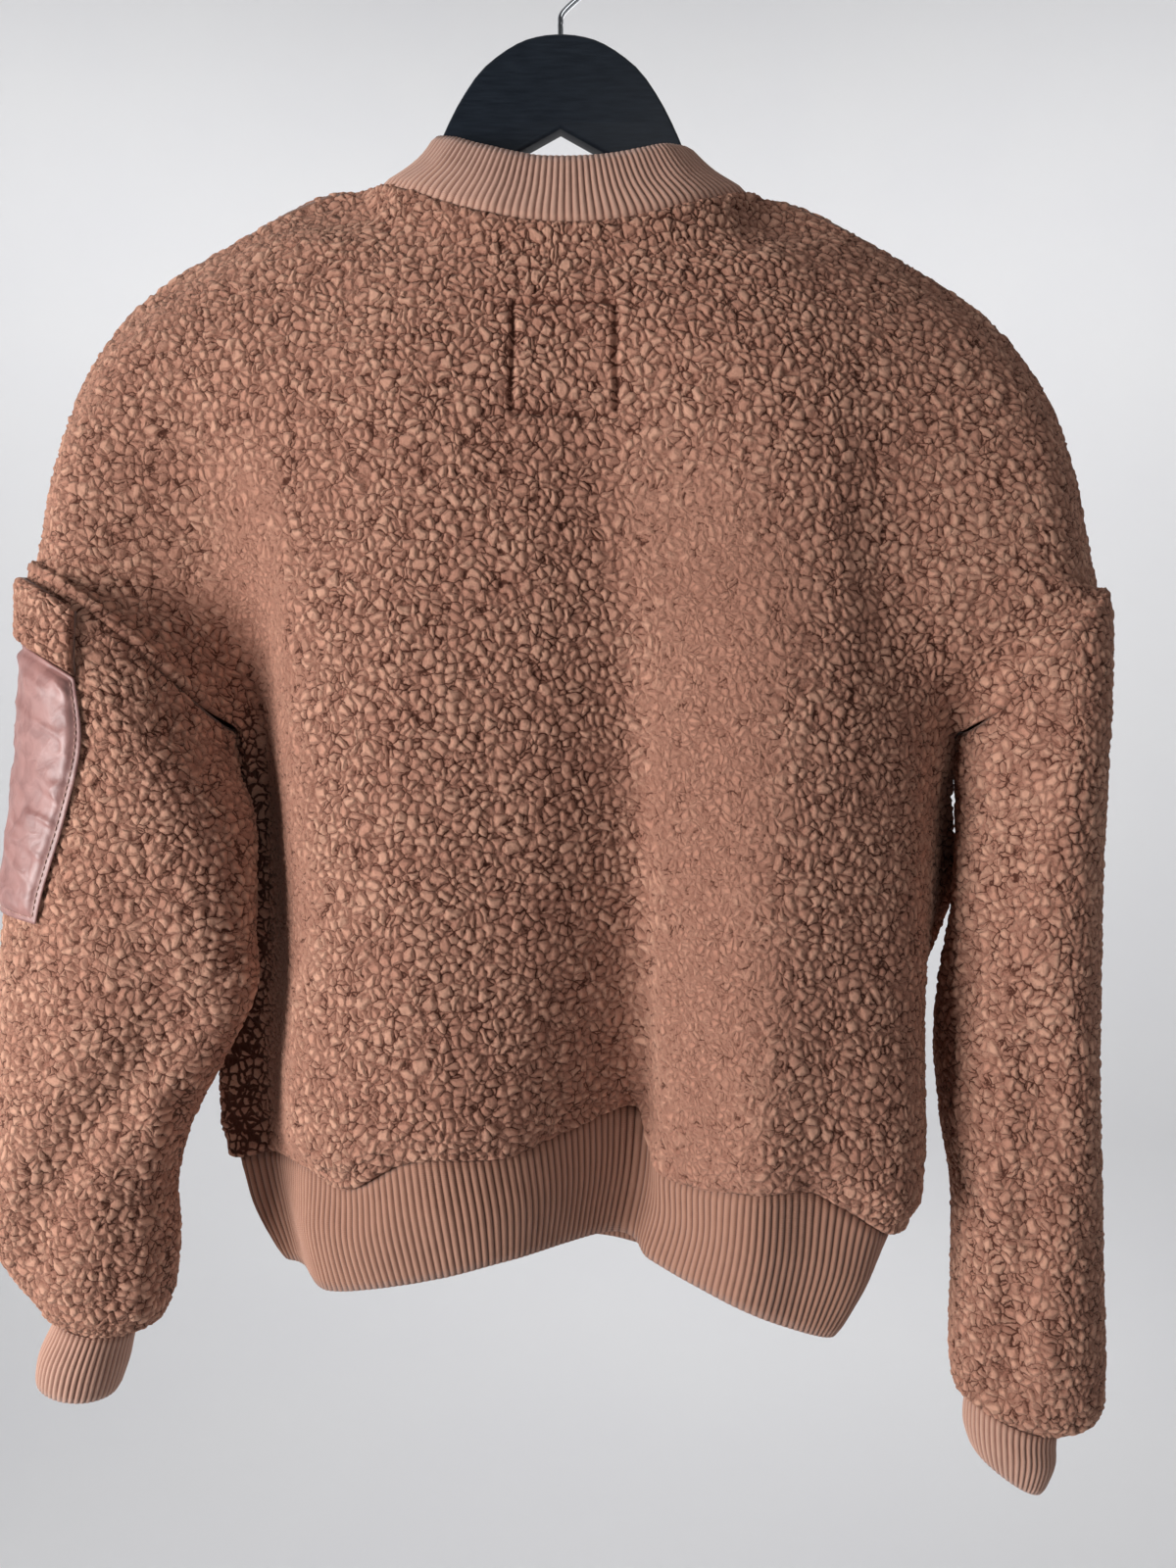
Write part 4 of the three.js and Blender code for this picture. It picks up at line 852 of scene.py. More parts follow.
@dataclass(frozen=True)
class RibKnit:
    """Two by two rib knit of polyester yarn; along and across are in millimetres."""

    # Painted shade and painted highlight: the groove colour darkens the hollows between the ribs
    # and the light colour brightens their crests
    groove: str = "#7d5547"
    face: str = "#b78976"
    light: str = "#cda28e"
    wale_mm: float = 1.3  # columns of v-shaped stitches
    course_mm: float = 1.15  # rows of stitches, which give the ribs their fine ladder

    def make(self, name: str) -> bpy.types.Material:
        """Returns the material."""
        g = Graph(name)
        wale = g.math("MULTIPLY", g.stored("across"), 2 * math.pi / self.wale_mm)
        lean = g.math("ABSOLUTE", g.math("SINE", wale))
        slanted = g.plus(g.stored("along"), 0.55, lean)
        course = g.math("SINE", g.math("MULTIPLY", slanted, 2 * math.pi / self.course_mm))
        fuzz = g.noise(0.5, 3.0, Roughness=0.7)
        # The stored height paints the rib crests lighter and the grooves darker
        grain = g.plus(g.plus(g.stored("height"), 0.12, course), 0.5, fuzz)
        blot = g.math("ADD", g.plus(grain, 0.3, g.noise(9.0, 2.0)), -0.38)
        colour = g.ramp(blot, [(0.0, self.groove), (0.55, self.face), (1.0, self.light)])
        fine = g.bump(fuzz, 0.6, 0.2, g.bump(course, 0.5, 0.3))
        return g.finish({
            "Base Color": colour, "Roughness": 0.88, "IOR": 1.46, "Specular IOR Level": 0.2,
            "Sheen Weight": 0.3, "Sheen Roughness": 0.5, "Normal": fine})


@dataclass(frozen=True)
class NylonSatin:
    """Smooth woven nylon satin with a soft sheen."""

    colour: str = "#9f736d"
    # The darker colour is painted shade in the hollows of the puckers
    pucker_shade: str = "#855b56"
    thread_mm: float = 0.36  # float threads of the satin weave, which draw the sheen out

    def make(self, name: str) -> bpy.types.Material:
        """Returns the material."""
        g = Graph(name)
        thread = put(g.tree, "TexWave", {"Vector": g.place, "Distortion": 0.4,
                                         "Scale": WAVE / (self.thread_mm * MM)},
                     bands_direction="DIAGONAL").outputs["Fac"]
        pucker = g.noise(11.0, 3.0, Distortion=0.8)
        weave = g.bump(thread, 0.3, 0.06, g.bump(pucker, 0.5, 1.2))
        # The colour is painted darker where the puckers sink, as painted shade
        return g.finish({
            "Base Color": g.ramp(pucker, [(0.3, self.pucker_shade), (0.62, self.colour)]),
            "Roughness": 0.42, "IOR": 1.53, "Specular IOR Level": 0.5, "Sheen Weight": 0.25,
            "Sheen Roughness": 0.35, "Anisotropic": 0.4, "Normal": weave})


@dataclass(frozen=True)
class PaintedWood:
    """Turned beech with a satin black lacquer and a few knocked spots."""

    paint: str = "#151b23"
    worn: str = "#1f262f"
    bare: str = "#8d6c4f"
    stretch: tuple[float, float, float] = (18.0, 60.0, 160.0)  # brush marks run along x

    def make(self, name: str) -> bpy.types.Material:
        """Returns the material."""
        g = Graph(name)
        stretched = put(g.tree, "Mapping", {"Vector": g.place, "Scale": self.stretch})
        brush = put(g.tree, "TexNoise", {"Vector": stretched.outputs[0], "Scale": 3.0,
                                         "Detail": 5.0, "Roughness": 0.6}).outputs["Fac"]
        spots = put(g.tree, "TexVoronoi", {"Vector": g.place, "Scale": 75.0})
        bare = g.math("MULTIPLY", g.math("GREATER_THAN", g.noise(1000 / 52, 1.0), 0.7),
                      g.math("LESS_THAN", spots.outputs["Distance"], 0.16))
        paint = g.ramp(brush, [(0.35, self.paint), (0.75, self.worn)])
        rough = put(g.tree, "MapRange", {0: brush, 3: 0.28, 4: 0.46}).outputs[0]
        return g.finish({
            "Base Color": g.blend(bare, paint, linear(self.bare)), "Roughness": rough,
            "IOR": 1.5, "Specular IOR Level": 0.35, "Normal": g.bump(brush, 0.25, 0.25)})


@dataclass(frozen=True)
class Metal:
    """Drawn or die-cast metal with fine scratches."""

    colour: str
    roughness: float
    scratch_mm: float = 0.5  # length scale of the handling marks, which dull the shine

    def make(self, name: str) -> bpy.types.Material:
        """Returns the material."""
        g = Graph(name)
        marks = g.noise(self.scratch_mm, 4.0, Roughness=0.7)
        rough = put(g.tree, "MapRange", {0: marks, 3: self.roughness * 0.7,
                                         4: self.roughness * 1.4}).outputs[0]
        return g.finish({"Base Color": linear(self.colour), "Metallic": 1.0,
                         "Roughness": rough, "Normal": g.bump(marks, 0.15, 0.05)})


@dataclass(frozen=True)
class Backdrop:
    """Matt painted board of the studio, pale behind the jacket and darker before it."""

    colour: str = "#eeeeef"
    cloud: str = "#ececee"
    away: str = "#5f5f61"

    def make(self, name: str) -> bpy.types.Material:
        """Returns the material."""
        g = Graph(name)
        pale = g.ramp(g.noise(1000 / 1.5, 4.0), [(0.3, self.cloud), (0.7, self.colour)])
        depth = put(g.tree, "SeparateXYZ", {0: g.place}).outputs["Y"]
        behind = g.span(depth, -3.5, 0.5, "LINEAR")
        return g.finish({"Base Color": g.blend(behind, linear(self.away), pale),
                         "Roughness": 0.9})


@dataclass
class Finishes:
    """All materials, made once."""

    pile: bpy.types.Material = field(default_factory=lambda: TeddyPile().make("teddy_pile"))
    knit: bpy.types.Material = field(default_factory=lambda: KnitBacking().make("jersey_backing"))
    rib: bpy.types.Material = field(default_factory=lambda: RibKnit().make("rib_knit_yarn"))
    # The hem's rib knit is a darker copy of the same yarn, painted darker as shade on the hem band
    hem: bpy.types.Material = field(default_factory=lambda: RibKnit(
        "#69463a", "#a2745f", "#b98a75").make("rib_knit_yarn_hem_shaded"))
    satin: bpy.types.Material = field(default_factory=lambda: NylonSatin().make("nylon_satin"))
    tape: bpy.types.Material = field(default_factory=lambda: NylonSatin(
        "#a87b70", "#8a6259", 0.7).make("woven_zip_tape"))
    thread: bpy.types.Material = field(default_factory=lambda: NylonSatin(
        "#c29a8c", "#a57c6f", 0.5).make("sewing_thread"))
    wood: bpy.types.Material = field(default_factory=lambda: PaintedWood().make("painted_beech"))
    wire: bpy.types.Material = field(default_factory=lambda: Metal("#cfd2d6", 0.14).make(
        "chromed_wire"))
    brass: bpy.types.Material = field(default_factory=lambda: Metal("#b9a27a", 0.3).make(
        "zip_brass"))


# Garment pieces


@dataclass
class Fleece:
    """A fleece panel: a jersey wall that carries a curled pile on its outside.

    Attributes:
        node: CAD node that the panel stands for.
        surface: grid of the outside for parameters across and down.
        across: first and last parameter across.
        down: first and last parameter down.
        counts: points of the pile grid across and down.
        ring: whether the panel closes on itself.
        pieces: how many pieces the pile is made of.
        cut_mm: width and length of the flat cut; not used.
        pressed: returns the pile's strength, depth, tightness and the painted shade that darkens
            its gaps.
    """

    node: str
    surface: Callable
    across: tuple[float, float]
    down: tuple[float, float]
    counts: tuple[int, int]
    ring: bool = False
    pieces: int = 1
    cut_mm: tuple[float, float] = (600.0, 600.0)
    pressed: Callable | None = None
    base: float = 4.0  # mm below the form at which the backing starts
    crest: float = 0.9  # mm from the backing to the foot of the lumps
    seam_width: float = 5.0  # mm from a seam within which the pile is lower
    seam_dip: float = 0.7  # mm that it lies lower there
    tuck: float = 2.2  # mm that its last row turns in at a seam
    fuzz: float = 0.22  # mm of unevenness between lumps
    rests: str = "hanger_painted"  # the piece that carries this one
    pile: Pile = field(default_factory=Pile)

    def build(self, finishes: Finishes) -> list[bpy.types.Object]:
        """Builds the backing and the pile.

        Args:
            finishes: the materials.

        Returns:
            The objects, the backing first.
        """
        counts = self.counts
        u, v = even(self.surface, self.across, self.down, counts)
        points = self.surface(u, v)
        normals = grid_normals(points, self.ring)
        backing = self.backing(finishes)
        strength, drop, tight, shade = self.form(points, u, v)
        relief, tone, weave = self.pile.relief(points, tight)
        edge = edge_distance(points, self.ring)
        seam = ramp(edge, 0.3, self.seam_width)
        height = relief * strength * mix(0.8, 1.0, seam)
        depth = self.base - self.crest - self.pile.rise * height + self.seam_dip * (1 - seam) + drop
        depth = np.minimum(depth - self.fuzz * noise(points, 1.7, 91), self.base + 0.1)
        depth += self.tuck * (1 - ramp(edge, 0.0, 0.9))
        skin = points - normals * depth[..., None]
        # The colour's crest value, stored as height, is painted shade: darker low on the lumps, and
        # lifted where the pile is pressed flat
        dark = np.clip(height + 0.25 * (1 - strength), 0, 1.3)
        # open darkens the gaps as painted shade: in the back's hollow, and along stitched grooves,
        # seams and creases where drop is positive; it narrows them where the pile is tight
        values = {"height": dark, "tone": tone, "tight": tight,
                  "open": shade - 0.05 * drop * (drop > 0) + 0.02 * tight,
                  "weave_x": weave[..., 0], "weave_y": weave[..., 1], "weave_z": weave[..., 2]}
        pieces = [backing]
        cuts = np.linspace(0, skin.shape[1] - 1, self.pieces + 1).astype(int)
        for i, (a, b) in enumerate(zip(cuts[:-1], cuts[1:])):
            name = f"{self.node}_pile" + (f"_{i + 1}" if self.pieces > 1 else "")
            part = Surface(name)
            cut = slice(a, b + 1)
            part.grid(skin[:, cut], **{key: value[:, cut] for key, value in values.items()})
            item = part.build([finishes.pile])
            pieces.append(item)
        return pieces

    def form(self, points: np.ndarray, u: np.ndarray, v: np.ndarray) -> tuple:
        """Returns the pile's strength, depth, tightness and the painted shade that darkens its
        gaps.
        """
        if self.pressed is not None:
            return self.pressed(points, u, v)
        none = np.zeros(points.shape[:2])
        return none + 1, none, none, none

    def backing(self, finishes: Finishes) -> bpy.types.Object:
        """Builds the jersey wall under the pile."""
        u, v = even(self.surface, self.across, self.down, tuple(
            max(int(c / 7.5), 14) for c in self.counts))
        points = self.surface(u, v)
        normals = grid_normals(points, self.ring)
        outer = points - normals * (self.base + 0.2)
        inner = points - normals * WALL
        part = Surface(f"{self.node}_backing")
        part.wall(outer, inner, self.ring, (0, 0))
        item = part.build([finishes.knit], weld=self.ring)
        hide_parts(self.node)
        return item

    @staticmethod
    def area(points: np.ndarray) -> float:
        """Returns the area of a grid in square millimetres."""
        a = points[1:, 1:] - points[:-1, :-1]
        b = points[1:, :-1] - points[:-1, 1:]
        return float(np.linalg.norm(np.cross(a, b), axis=-1).sum() / 2)


@dataclass
class RibBand:
    """A band of rib knit, its ribs raised on both faces.

    Attributes:
        node: CAD node that the band stands for.
        surface: grid of the carrier surface for parameters across and down.
        across: first and last parameter across.
        down: first and last parameter down.
        pitch_mm: distance between two ribs.
        material: name of its finish.
        rests: the piece that carries it; not used.
        ring: whether the band closes on itself.
        rows: points down the band.
        per_rib: points across a rib.
        rise: height of a rib in millimetres.
        wall: thickness of the band in millimetres.
        swell: how far its middle stands out in millimetres.
    """

    node: str
    surface: Callable
    across: tuple[float, float]
    down: tuple[float, float]
    pitch_mm: float
    material: str = "rib"
    rests: str = "back_backing"
    ring: bool = False
    rows: int = 12
    per_rib: int = 6
    rise: float = 1.25
    wall: float = 2.6
    swell: float = 1.2

    def build(self, finishes: Finishes) -> bpy.types.Object:
        """Builds the band as one closed wall."""
        us = np.linspace(*self.across, 241)
        coarse = self.surface(us, np.array([sum(self.down) / 2]))
        run = steps_along(coarse, 1)
        ribs = round(run[-1] / self.pitch_mm)
        fine = np.linspace(0, run[-1], ribs * self.per_rib + 1)
        u = np.interp(fine, run, us)
        v = np.linspace(*self.down, self.rows)
        points = self.surface(u, v)
        normals = grid_normals(points, self.ring)
        phase = fine / run[-1] * ribs
        wave = np.abs(np.cos(np.pi * phase)) ** 0.8
        down = np.linspace(0, 1, self.rows)[:, None]
        soft = 1 - 0.25 * np.exp(-((np.minimum(down, 1 - down)) / 0.06) ** 2)
        carrier = RIB_OUT - self.swell * np.sin(np.pi * down) - noise(points, 14.0, 71) * 0.35
        depth = carrier + self.rise * (1 - wave)[None] * soft
        back = carrier + self.wall + self.rise * (0.15 + 0.5 * wave)[None] * soft
        outer = points - normals * depth[..., None]
        inner = points - normals * back[..., None]
        rounded = self.turned(outer, inner, normals)
        along = steps_along(points, 0)
        height = np.broadcast_to(wave[None], points.shape[:2])
        part = Surface(f"{self.node}_knit")
        part.wall(*rounded, self.ring, (0, 0), height=height,
                  along=np.broadcast_to(along[:, None], height.shape),
                  across=np.broadcast_to(fine[None], height.shape))
        item = part.build([getattr(finishes, self.material)], weld=self.ring)
        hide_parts(self.node)
        LOG.info("%s: %d ribs, %.0f mm by %.0f mm", self.node, ribs, run[-1], along[-1])
        return item

    @staticmethod
    def turned(outer: np.ndarray, inner: np.ndarray, normals: np.ndarray) -> tuple:
        """Returns both skins with their end rows drawn together, like a folded edge."""
        outer, inner = outer.copy(), inner.copy()
        for row in (0, -1):
            mid = (outer[row] + inner[row]) / 2
            outer[row] = mix(outer[row], mid, 0.55)
            inner[row] = mix(inner[row], mid, 0.55)
        return outer, inner


def capsule_rows(path: np.ndarray, normals: np.ndarray, length: float, gap: float,
                 radius: float) -> tuple[np.ndarray, np.ndarray]:
    """Lays small thread stitches along a path.

    Args:
        path: points along the seam, in millimetres.
        normals: outward direction at each point.
        length: length of a stitch.
        gap: space between two stitches.
        radius: thickness of the thread.

    Returns:
        Points and faces of all stitches.
    """
    run = np.concatenate([[0], np.cumsum(np.linalg.norm(np.diff(path, axis=0), axis=-1))])
    starts = np.arange(gap, run[-1] - length, length + gap)
    points, faces = [], []
    ring = np.array([(math.cos(a), math.sin(a)) for a in np.linspace(0, 2 * np.pi, 7)[:-1]])
    shape = ((0.0, 0.25, -0.6), (0.15, 0.9, 0.2), (0.5, 1.0, 0.75), (0.85, 0.9, 0.2),
             (1.0, 0.25, -0.6))
    for s in starts:
        rings = []
        for f, wide, lift in shape:
            at = s + f * length
            p = np.array([np.interp(at, run, path[:, i]) for i in range(3)])
            q = np.array([np.interp(at + 0.3, run, path[:, i]) for i in range(3)])
            n = np.array([np.interp(at, run, normals[:, i]) for i in range(3)])
            t = q - p
            t /= max(np.linalg.norm(t), 1e-9)
            n = n - t * (n @ t)
            n /= np.linalg.norm(n)
            b = np.cross(t, n)
            rings.append(p + n * lift * radius + radius * wide * (
                ring[:, :1] * b + ring[:, 1:] * n))
        start = len(points) * len(shape) * 6
        points.append(np.concatenate(rings))
        for r in range(len(shape) - 1):
            for c in range(6):
                d = (c + 1) % 6
                faces.append((start + r * 6 + c, start + r * 6 + d,
                              start + (r + 1) * 6 + d, start + (r + 1) * 6 + c))
    return np.concatenate(points), np.array(faces)


def stitches(name: str, paths: Sequence[tuple[np.ndarray, np.ndarray]], finishes: Finishes,
             length: float = 3.0, gap: float = 1.0, radius: float = 0.32) -> bpy.types.Object:
    """Builds rows of thread stitches as one piece."""
    part = Surface(name)
    for path, normals in paths:
        points, faces = capsule_rows(path, normals, length, gap, radius)
        part.add(points, faces)
    item = part.build([finishes.thread])
    return item


@dataclass
class SleevePocket:
    """The pocket on the left sleeve: a fleece flap over a satin panel."""

    flap: tuple[float, float] = (0.22, 1.15)
    panel: tuple[float, float] = (1.18, 4.3)
    turn: tuple[float, float] = (-45.0, 75.0)  # degrees from the outer line, front to back
    lift: float = 1.0
    puff: float = 2.0  # mm that the panel stands out inside its stitches
    ridge: float = 1.5  # mm, height of the slanting wrinkles
    wrinkle: float = 0.5  # mm, height of the small ones
    inset: float = 3.2  # mm from the edge to the stitches

    def raised(self, extra: float) -> Callable:
        """Returns a surface that lies that far above the left sleeve."""

        def surface(u: np.ndarray, v: np.ndarray) -> np.ndarray:
            points = FORM.sleeve(Side.LEFT, u, v)
            return points + grid_normals(points, False) * extra

        return surface

    def build(self, finishes: Finishes) -> list[bpy.types.Object]:
        """Builds the flap, the satin and their stitches."""
        flap = Fleece("pocket_flap", self.raised(self.lift + 5.2), self.turn,
                      self.flap, (110, 60), cut_mm=(125, 66), base=3.2,
                      rests="sleeve_left_backing")
        made = flap.build(finishes)
        made.append(self.satin(finishes))
        return made

    def satin(self, finishes: Finishes) -> bpy.types.Object:
        """Builds the satin panel with soft wrinkles."""
        surface = self.raised(self.lift)
        u, v = even(surface, self.turn, self.panel, (70, 100))
        points = surface(u, v)
        normals = grid_normals(points, False)
        edge = edge_distance(points, False)
        puff = self.puff * ramp(edge, 2.0, 9.0)
        slant = points + np.stack([0 * points[..., 0], 0 * points[..., 0],
                                   points[..., 0] * 0.55], -1)
        folds = noise(slant * np.array([0.35, 0.6, 1.0]), 13.0, 81)
        fine = noise(slant * np.array([0.6, 0.8, 1.0]), 6.0, 82)
        ridge = (1 - np.abs(folds)) ** 3
        groove = -0.7 * np.exp(-((edge - self.inset) / 0.7) ** 2)
        creases = self.ridge * ridge + self.wrinkle * fine
        swell = puff + ramp(edge, 1.0, 8.0) * creases + groove
        outer = points + normals * (0.5 + swell)[..., None]
        inner = points + normals * 0.1
        part = Surface("pocket_satin")
        part.wall(outer, inner, False, (0, 0))
        item = part.build([finishes.satin])
        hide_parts("pocket_panel")
        paths = self.border(outer, normals, self.inset)
        thread = stitches("pocket_stitches", paths, finishes)
        return item

    @staticmethod
    def border(points: np.ndarray, normals: np.ndarray, inset: float) -> list:
        """Returns the paths that run inside the border of a grid."""
        rows, cols = points.shape[:2]
        step_r = np.linalg.norm(points[1, cols // 2] - points[0, cols // 2])
        step_c = np.linalg.norm(points[rows // 2, 1] - points[rows // 2, 0])
        r, c = round(inset / step_r), round(inset / step_c)
        lines = [(slice(r, rows - r), c), (slice(r, rows - r), cols - 1 - c),
                 (rows - 1 - r, slice(c, cols - c))]
        return [(points[line] + normals[line] * 0.25, normals[line]) for line in lines]


@dataclass
class Zip:
    """The front zip: two tapes, two rows of teeth, a slider and its pull tab."""

    pitch: float = 2.9  # mm between two teeth of a row
    inner: float = 1.3  # mm from the middle to the inner edge of a tape
    half: float = 6.7  # mm from the middle to its outer edge
    depth: float = 4.2  # mm below the form at which the tape lies
    thick: float = 1.0
    threads: int = 8  # points across a tape
    weave: float = 0.12  # mm that they rise and fall
    tooth: tuple[float, float, float] = (3.1, 1.6, 1.15)  # across, out and down
    tooth_depth: float = 3.1
    overlap: float = 0.55  # mm that a tooth reaches past the middle
    first: float = 7.5  # mm from the top to the first tooth
    last: float = 4.0  # mm left free below the last one
    taper: float = 0.8  # size of a tooth's free end
    softening: float = 0.25  # mm that the edges of the cast pieces are rounded by

    def line(self, t: np.ndarray) -> tuple[np.ndarray, np.ndarray]:
        """Returns points down the middle of the zip and their outward directions."""
        a = FORM.front(Side.LEFT, np.array([0.0]), t)[:, 0]
        b = FORM.front(Side.RIGHT, np.array([0.0]), t)[:, 0]
        middle = (a + b) / 2
        middle[:, 0] = FRONT_X
        down = np.gradient(middle, axis=0)
        down[:, 0] = 0
        down /= np.linalg.norm(down, axis=1, keepdims=True)
        out = np.cross([1.0, 0, 0], down)
        return middle, out

    def build(self, finishes: Finishes) -> None:
        """Builds the zip."""
        t = np.linspace(COLLAR_TOP, HEM_EDGE, 521)
        middle, out = self.line(t)
        run = np.concatenate([[0], np.cumsum(np.linalg.norm(np.diff(middle, axis=0), axis=1))])
        for side, node in ((-1, "zip_tape_left"), (1, "zip_tape_right")):
            xs = side * np.linspace(self.inner, self.half, self.threads)
            xs = xs if side > 0 else xs[::-1]
            base = middle[:, None] + xs[None, :, None] * np.array([1.0, 0, 0])
            weave = self.weave * np.sin(np.arange(self.threads) * 2.4)[None, :, None]
            outer = base - out[:, None] * (self.depth - weave)
            inner = base - out[:, None] * (self.depth + self.thick)
            part = Surface(node + "_woven")
            part.wall(outer[:, ::-1], inner[:, ::-1], False, (0, 0))
            item = part.build([finishes.tape])
            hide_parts(node)
        self.teeth(middle, out, run, finishes)
        for node in ("zip_slider", "zip_pull"):
            self.cast(node, finishes)

    def teeth(self, middle: np.ndarray, out: np.ndarray, run: np.ndarray,
              finishes: Finishes) -> None:
        """Builds both rows of teeth as one piece."""
        part = Surface("zip_teeth")
        corners = np.array([(x, y, z) for x in (0, 1) for y in (0, 1) for z in (0, 1)], float)
        faces = np.array([(0, 1, 3, 2), (4, 6, 7, 5), (0, 4, 5, 1), (2, 3, 7, 6), (0, 2, 6, 4),
                          (1, 5, 7, 3)])
        places = np.arange(self.first, run[-1] - self.last, self.pitch / 2)
        for i, at in enumerate(places):
            side = 1 if i % 2 else -1
            p = np.array([np.interp(at, run, middle[:, k]) for k in range(3)])
            n = np.array([np.interp(at, run, out[:, k]) for k in range(3)])
            down = np.cross(n, [1.0, 0, 0])
            local = (corners - np.array([0, 0.5, 0.5])) * np.array(self.tooth)
            local[:, 0] = local[:, 0] - self.overlap
            local[corners[:, 0] == 1, 1:] *= self.taper
            block = (p + side * local[:, :1] * np.array([1.0, 0, 0]) - n * self.tooth_depth
                     + local[:, 1:2] * n + local[:, 2:] * down)
            part.add(block, faces if side > 0 else faces[:, ::-1])
        item = part.build([finishes.brass])
        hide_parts("zip_chain")
        item.data.polygons.foreach_set("use_smooth", np.zeros(len(item.data.polygons), bool))

    def cast(self, node: str, finishes: Finishes) -> None:
        """Builds a cast metal piece with softened edges on the form of its CAD node."""
        source = frame["nodes"][node]
        mesh = source.data.copy()
        mesh.materials.clear()
        mesh.materials.append(finishes.brass)
        item = bpy.data.objects.new(node + "_cast", mesh)
        bpy.context.scene.collection.objects.link(item)
        weld_points(item)
        bevel = item.modifiers.new("soft_edges", "BEVEL")
        bevel.width = self.softening * MM
        bevel.segments = 3
        bevel.limit_method = "ANGLE"
        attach(item, TAB_BODY if node == "zip_pull" else BODY)
        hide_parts(node)


NOTCH_Z = -123.5  # where the two arms of the wood meet below


@dataclass
class Hanger:
    """Painted wooden hanger with a wire hook."""

    thick: float = 12.0
    wire: float = 3.5
    radius: float = 22.0
    top: tuple = ((0, -65), (12, -66), (24, -69.3), (37, -77), (50, -88), (62, -106), (71, -124),
                  (80, -146), (94, -166), (112, -180.3), (150, -189.6), (190, -206),
                  (220, -222.9), (227, -231.9))
    low: tuple = ((225, -241), (217, -245), (0, NOTCH_Z))
    bevel: float = 2.2

    def build(self, finishes: Finishes) -> None:
        """Builds the wood and the hook."""
        half = [*self.top, *self.low]
        outline = half + [(-x, z) for x, z in reversed(half[1:-1])]
        curve = bpy.data.curves.new("hanger_outline", "CURVE")
        curve.dimensions = "2D"
        curve.fill_mode = "BOTH"
        curve.extrude = (self.thick / 2 - self.bevel) * MM
        curve.bevel_depth = self.bevel * MM
        curve.bevel_resolution = 4
        curve.offset = -self.bevel * MM
        line = curve.splines.new("POLY")
        smooth = self.smoothed(outline)
        line.points.add(len(smooth) - 1)
        for point, (x, z) in zip(line.points, smooth):
            point.co = (x * MM, z * MM, 0, 1)
        line.use_cyclic_u = True
        raw = bpy.data.objects.new("hanger_raw", curve)
        mesh = bpy.data.meshes.new_from_object(raw)
        bpy.data.objects.remove(raw)
        mesh.transform(Matrix.Rotation(math.pi / 2, 4, "X"))
        mesh.materials.clear()
        mesh.materials.append(finishes.wood)
        item = bpy.data.objects.new("hanger_painted", mesh)
        bpy.context.scene.collection.objects.link(item)
        weld_points(item)
        item.data.polygons.foreach_set("use_smooth", np.ones(len(item.data.polygons), bool))
        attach(item, BODY)
        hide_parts("hanger_wood")
        self.hook(finishes)

    @staticmethod
    def smoothed(outline: Sequence[tuple[float, float]]) -> list[tuple[float, float]]:
        """Returns the outline with rounded corners, the notch kept crisp."""
        out = []
        count = len(outline)
        for i, point in enumerate(outline):
            before, after = outline[i - 1], outline[(i + 1) % count]
            if point[1] == NOTCH_Z:
                out.append(point)
                continue
            for f in (0.25, 0.0, -0.25):
                other = before if f > 0 else after
                g = abs(f)
                out.append(tuple(a + (b - a) * g for a, b in zip(point, other)) if f else tuple(
                    0.75 * a + 0.125 * b + 0.125 * c for a, b, c in zip(point, before, after)))
        return out

    def hook(self, finishes: Finishes) -> None:
        """Builds the wire hook with a rounded end."""
        wire = self.wire / 2
        centre = wire - self.radius
        path = [(0, self.top[0][1] + 0.1), (0, -60), (0, -56), (1.5, -49)]
        path += [(self.radius * math.cos(math.radians(a)),
                  centre + self.radius * math.sin(math.radians(a)))
                 for a in range(-52, 206, 18)]
        knots = np.arange(len(path), dtype=float)
        fine = np.linspace(0, len(path) - 1, 160)
        line = spline(knots, np.array(path, float), fine)
        points = np.stack([line[:, 0], 0 * line[:, 0], line[:, 1]], -1)
        tangent = np.gradient(points, axis=0)
        tangent /= np.linalg.norm(tangent, axis=1, keepdims=True)
        side = np.array([0.0, 1.0, 0.0])
        normal = np.cross(side, tangent)
        run = np.concatenate([[0], np.cumsum(np.linalg.norm(np.diff(points, axis=0), axis=1))])
        ends = np.minimum(run, run[-1] - run)
        radius = np.where(run > run[-1] / 2, wire * np.sqrt(
            np.clip(1 - np.clip(1 - ends / wire, 0, 1) ** 2, 0.0004, 1)), wire)
        angles = np.linspace(0, 2 * np.pi, 21)
        grid = points[:, None] + radius[:, None, None] * (
            np.cos(angles)[None, :, None] * side + np.sin(angles)[None, :, None] * normal[:, None])
        part = Surface("hanger_wire")
        part.grid(grid, flip=True)
        item = part.build([finishes.wire], weld=True)
        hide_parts("hanger_hook")


# Where the pile is drawn tight, stitched down or stands out, in millimetres
TIGHT_STRIPS = table("column width tight flat", [
    (6.6, 1.5, 0.9, 0.5),
    (21.4, 2.4, 0.8, 0.4),
])
LABEL_X, LABEL_Z, LABEL_HALF = 3.3, -284.0, (29.5, 32.0)
STITCH_WIDTH, STITCH_DEPTH = 1.7, 2.2
ARM_PUFF, HEM_PUFF, INNER_PUFF = 1.5, 2.4, 5.5
SIDE_PUFF, SIDE_REACH = 7.0, 9.0
# Hollow low on the left of the back, whose gaps are painted darker as painted shade
HOLLOW_COLUMN, HOLLOW_WIDTH, HOLLOW_SHADE = 3.2, 1.7, 0.15


def below_arm(level: np.ndarray) -> np.ndarray:
    """Returns 1 along the side seam from the underarm to the waist, and 0 elsewhere."""
    return ramp(level, 13.6, 14.6) * ramp(20.5 - level, 0, 2.5)


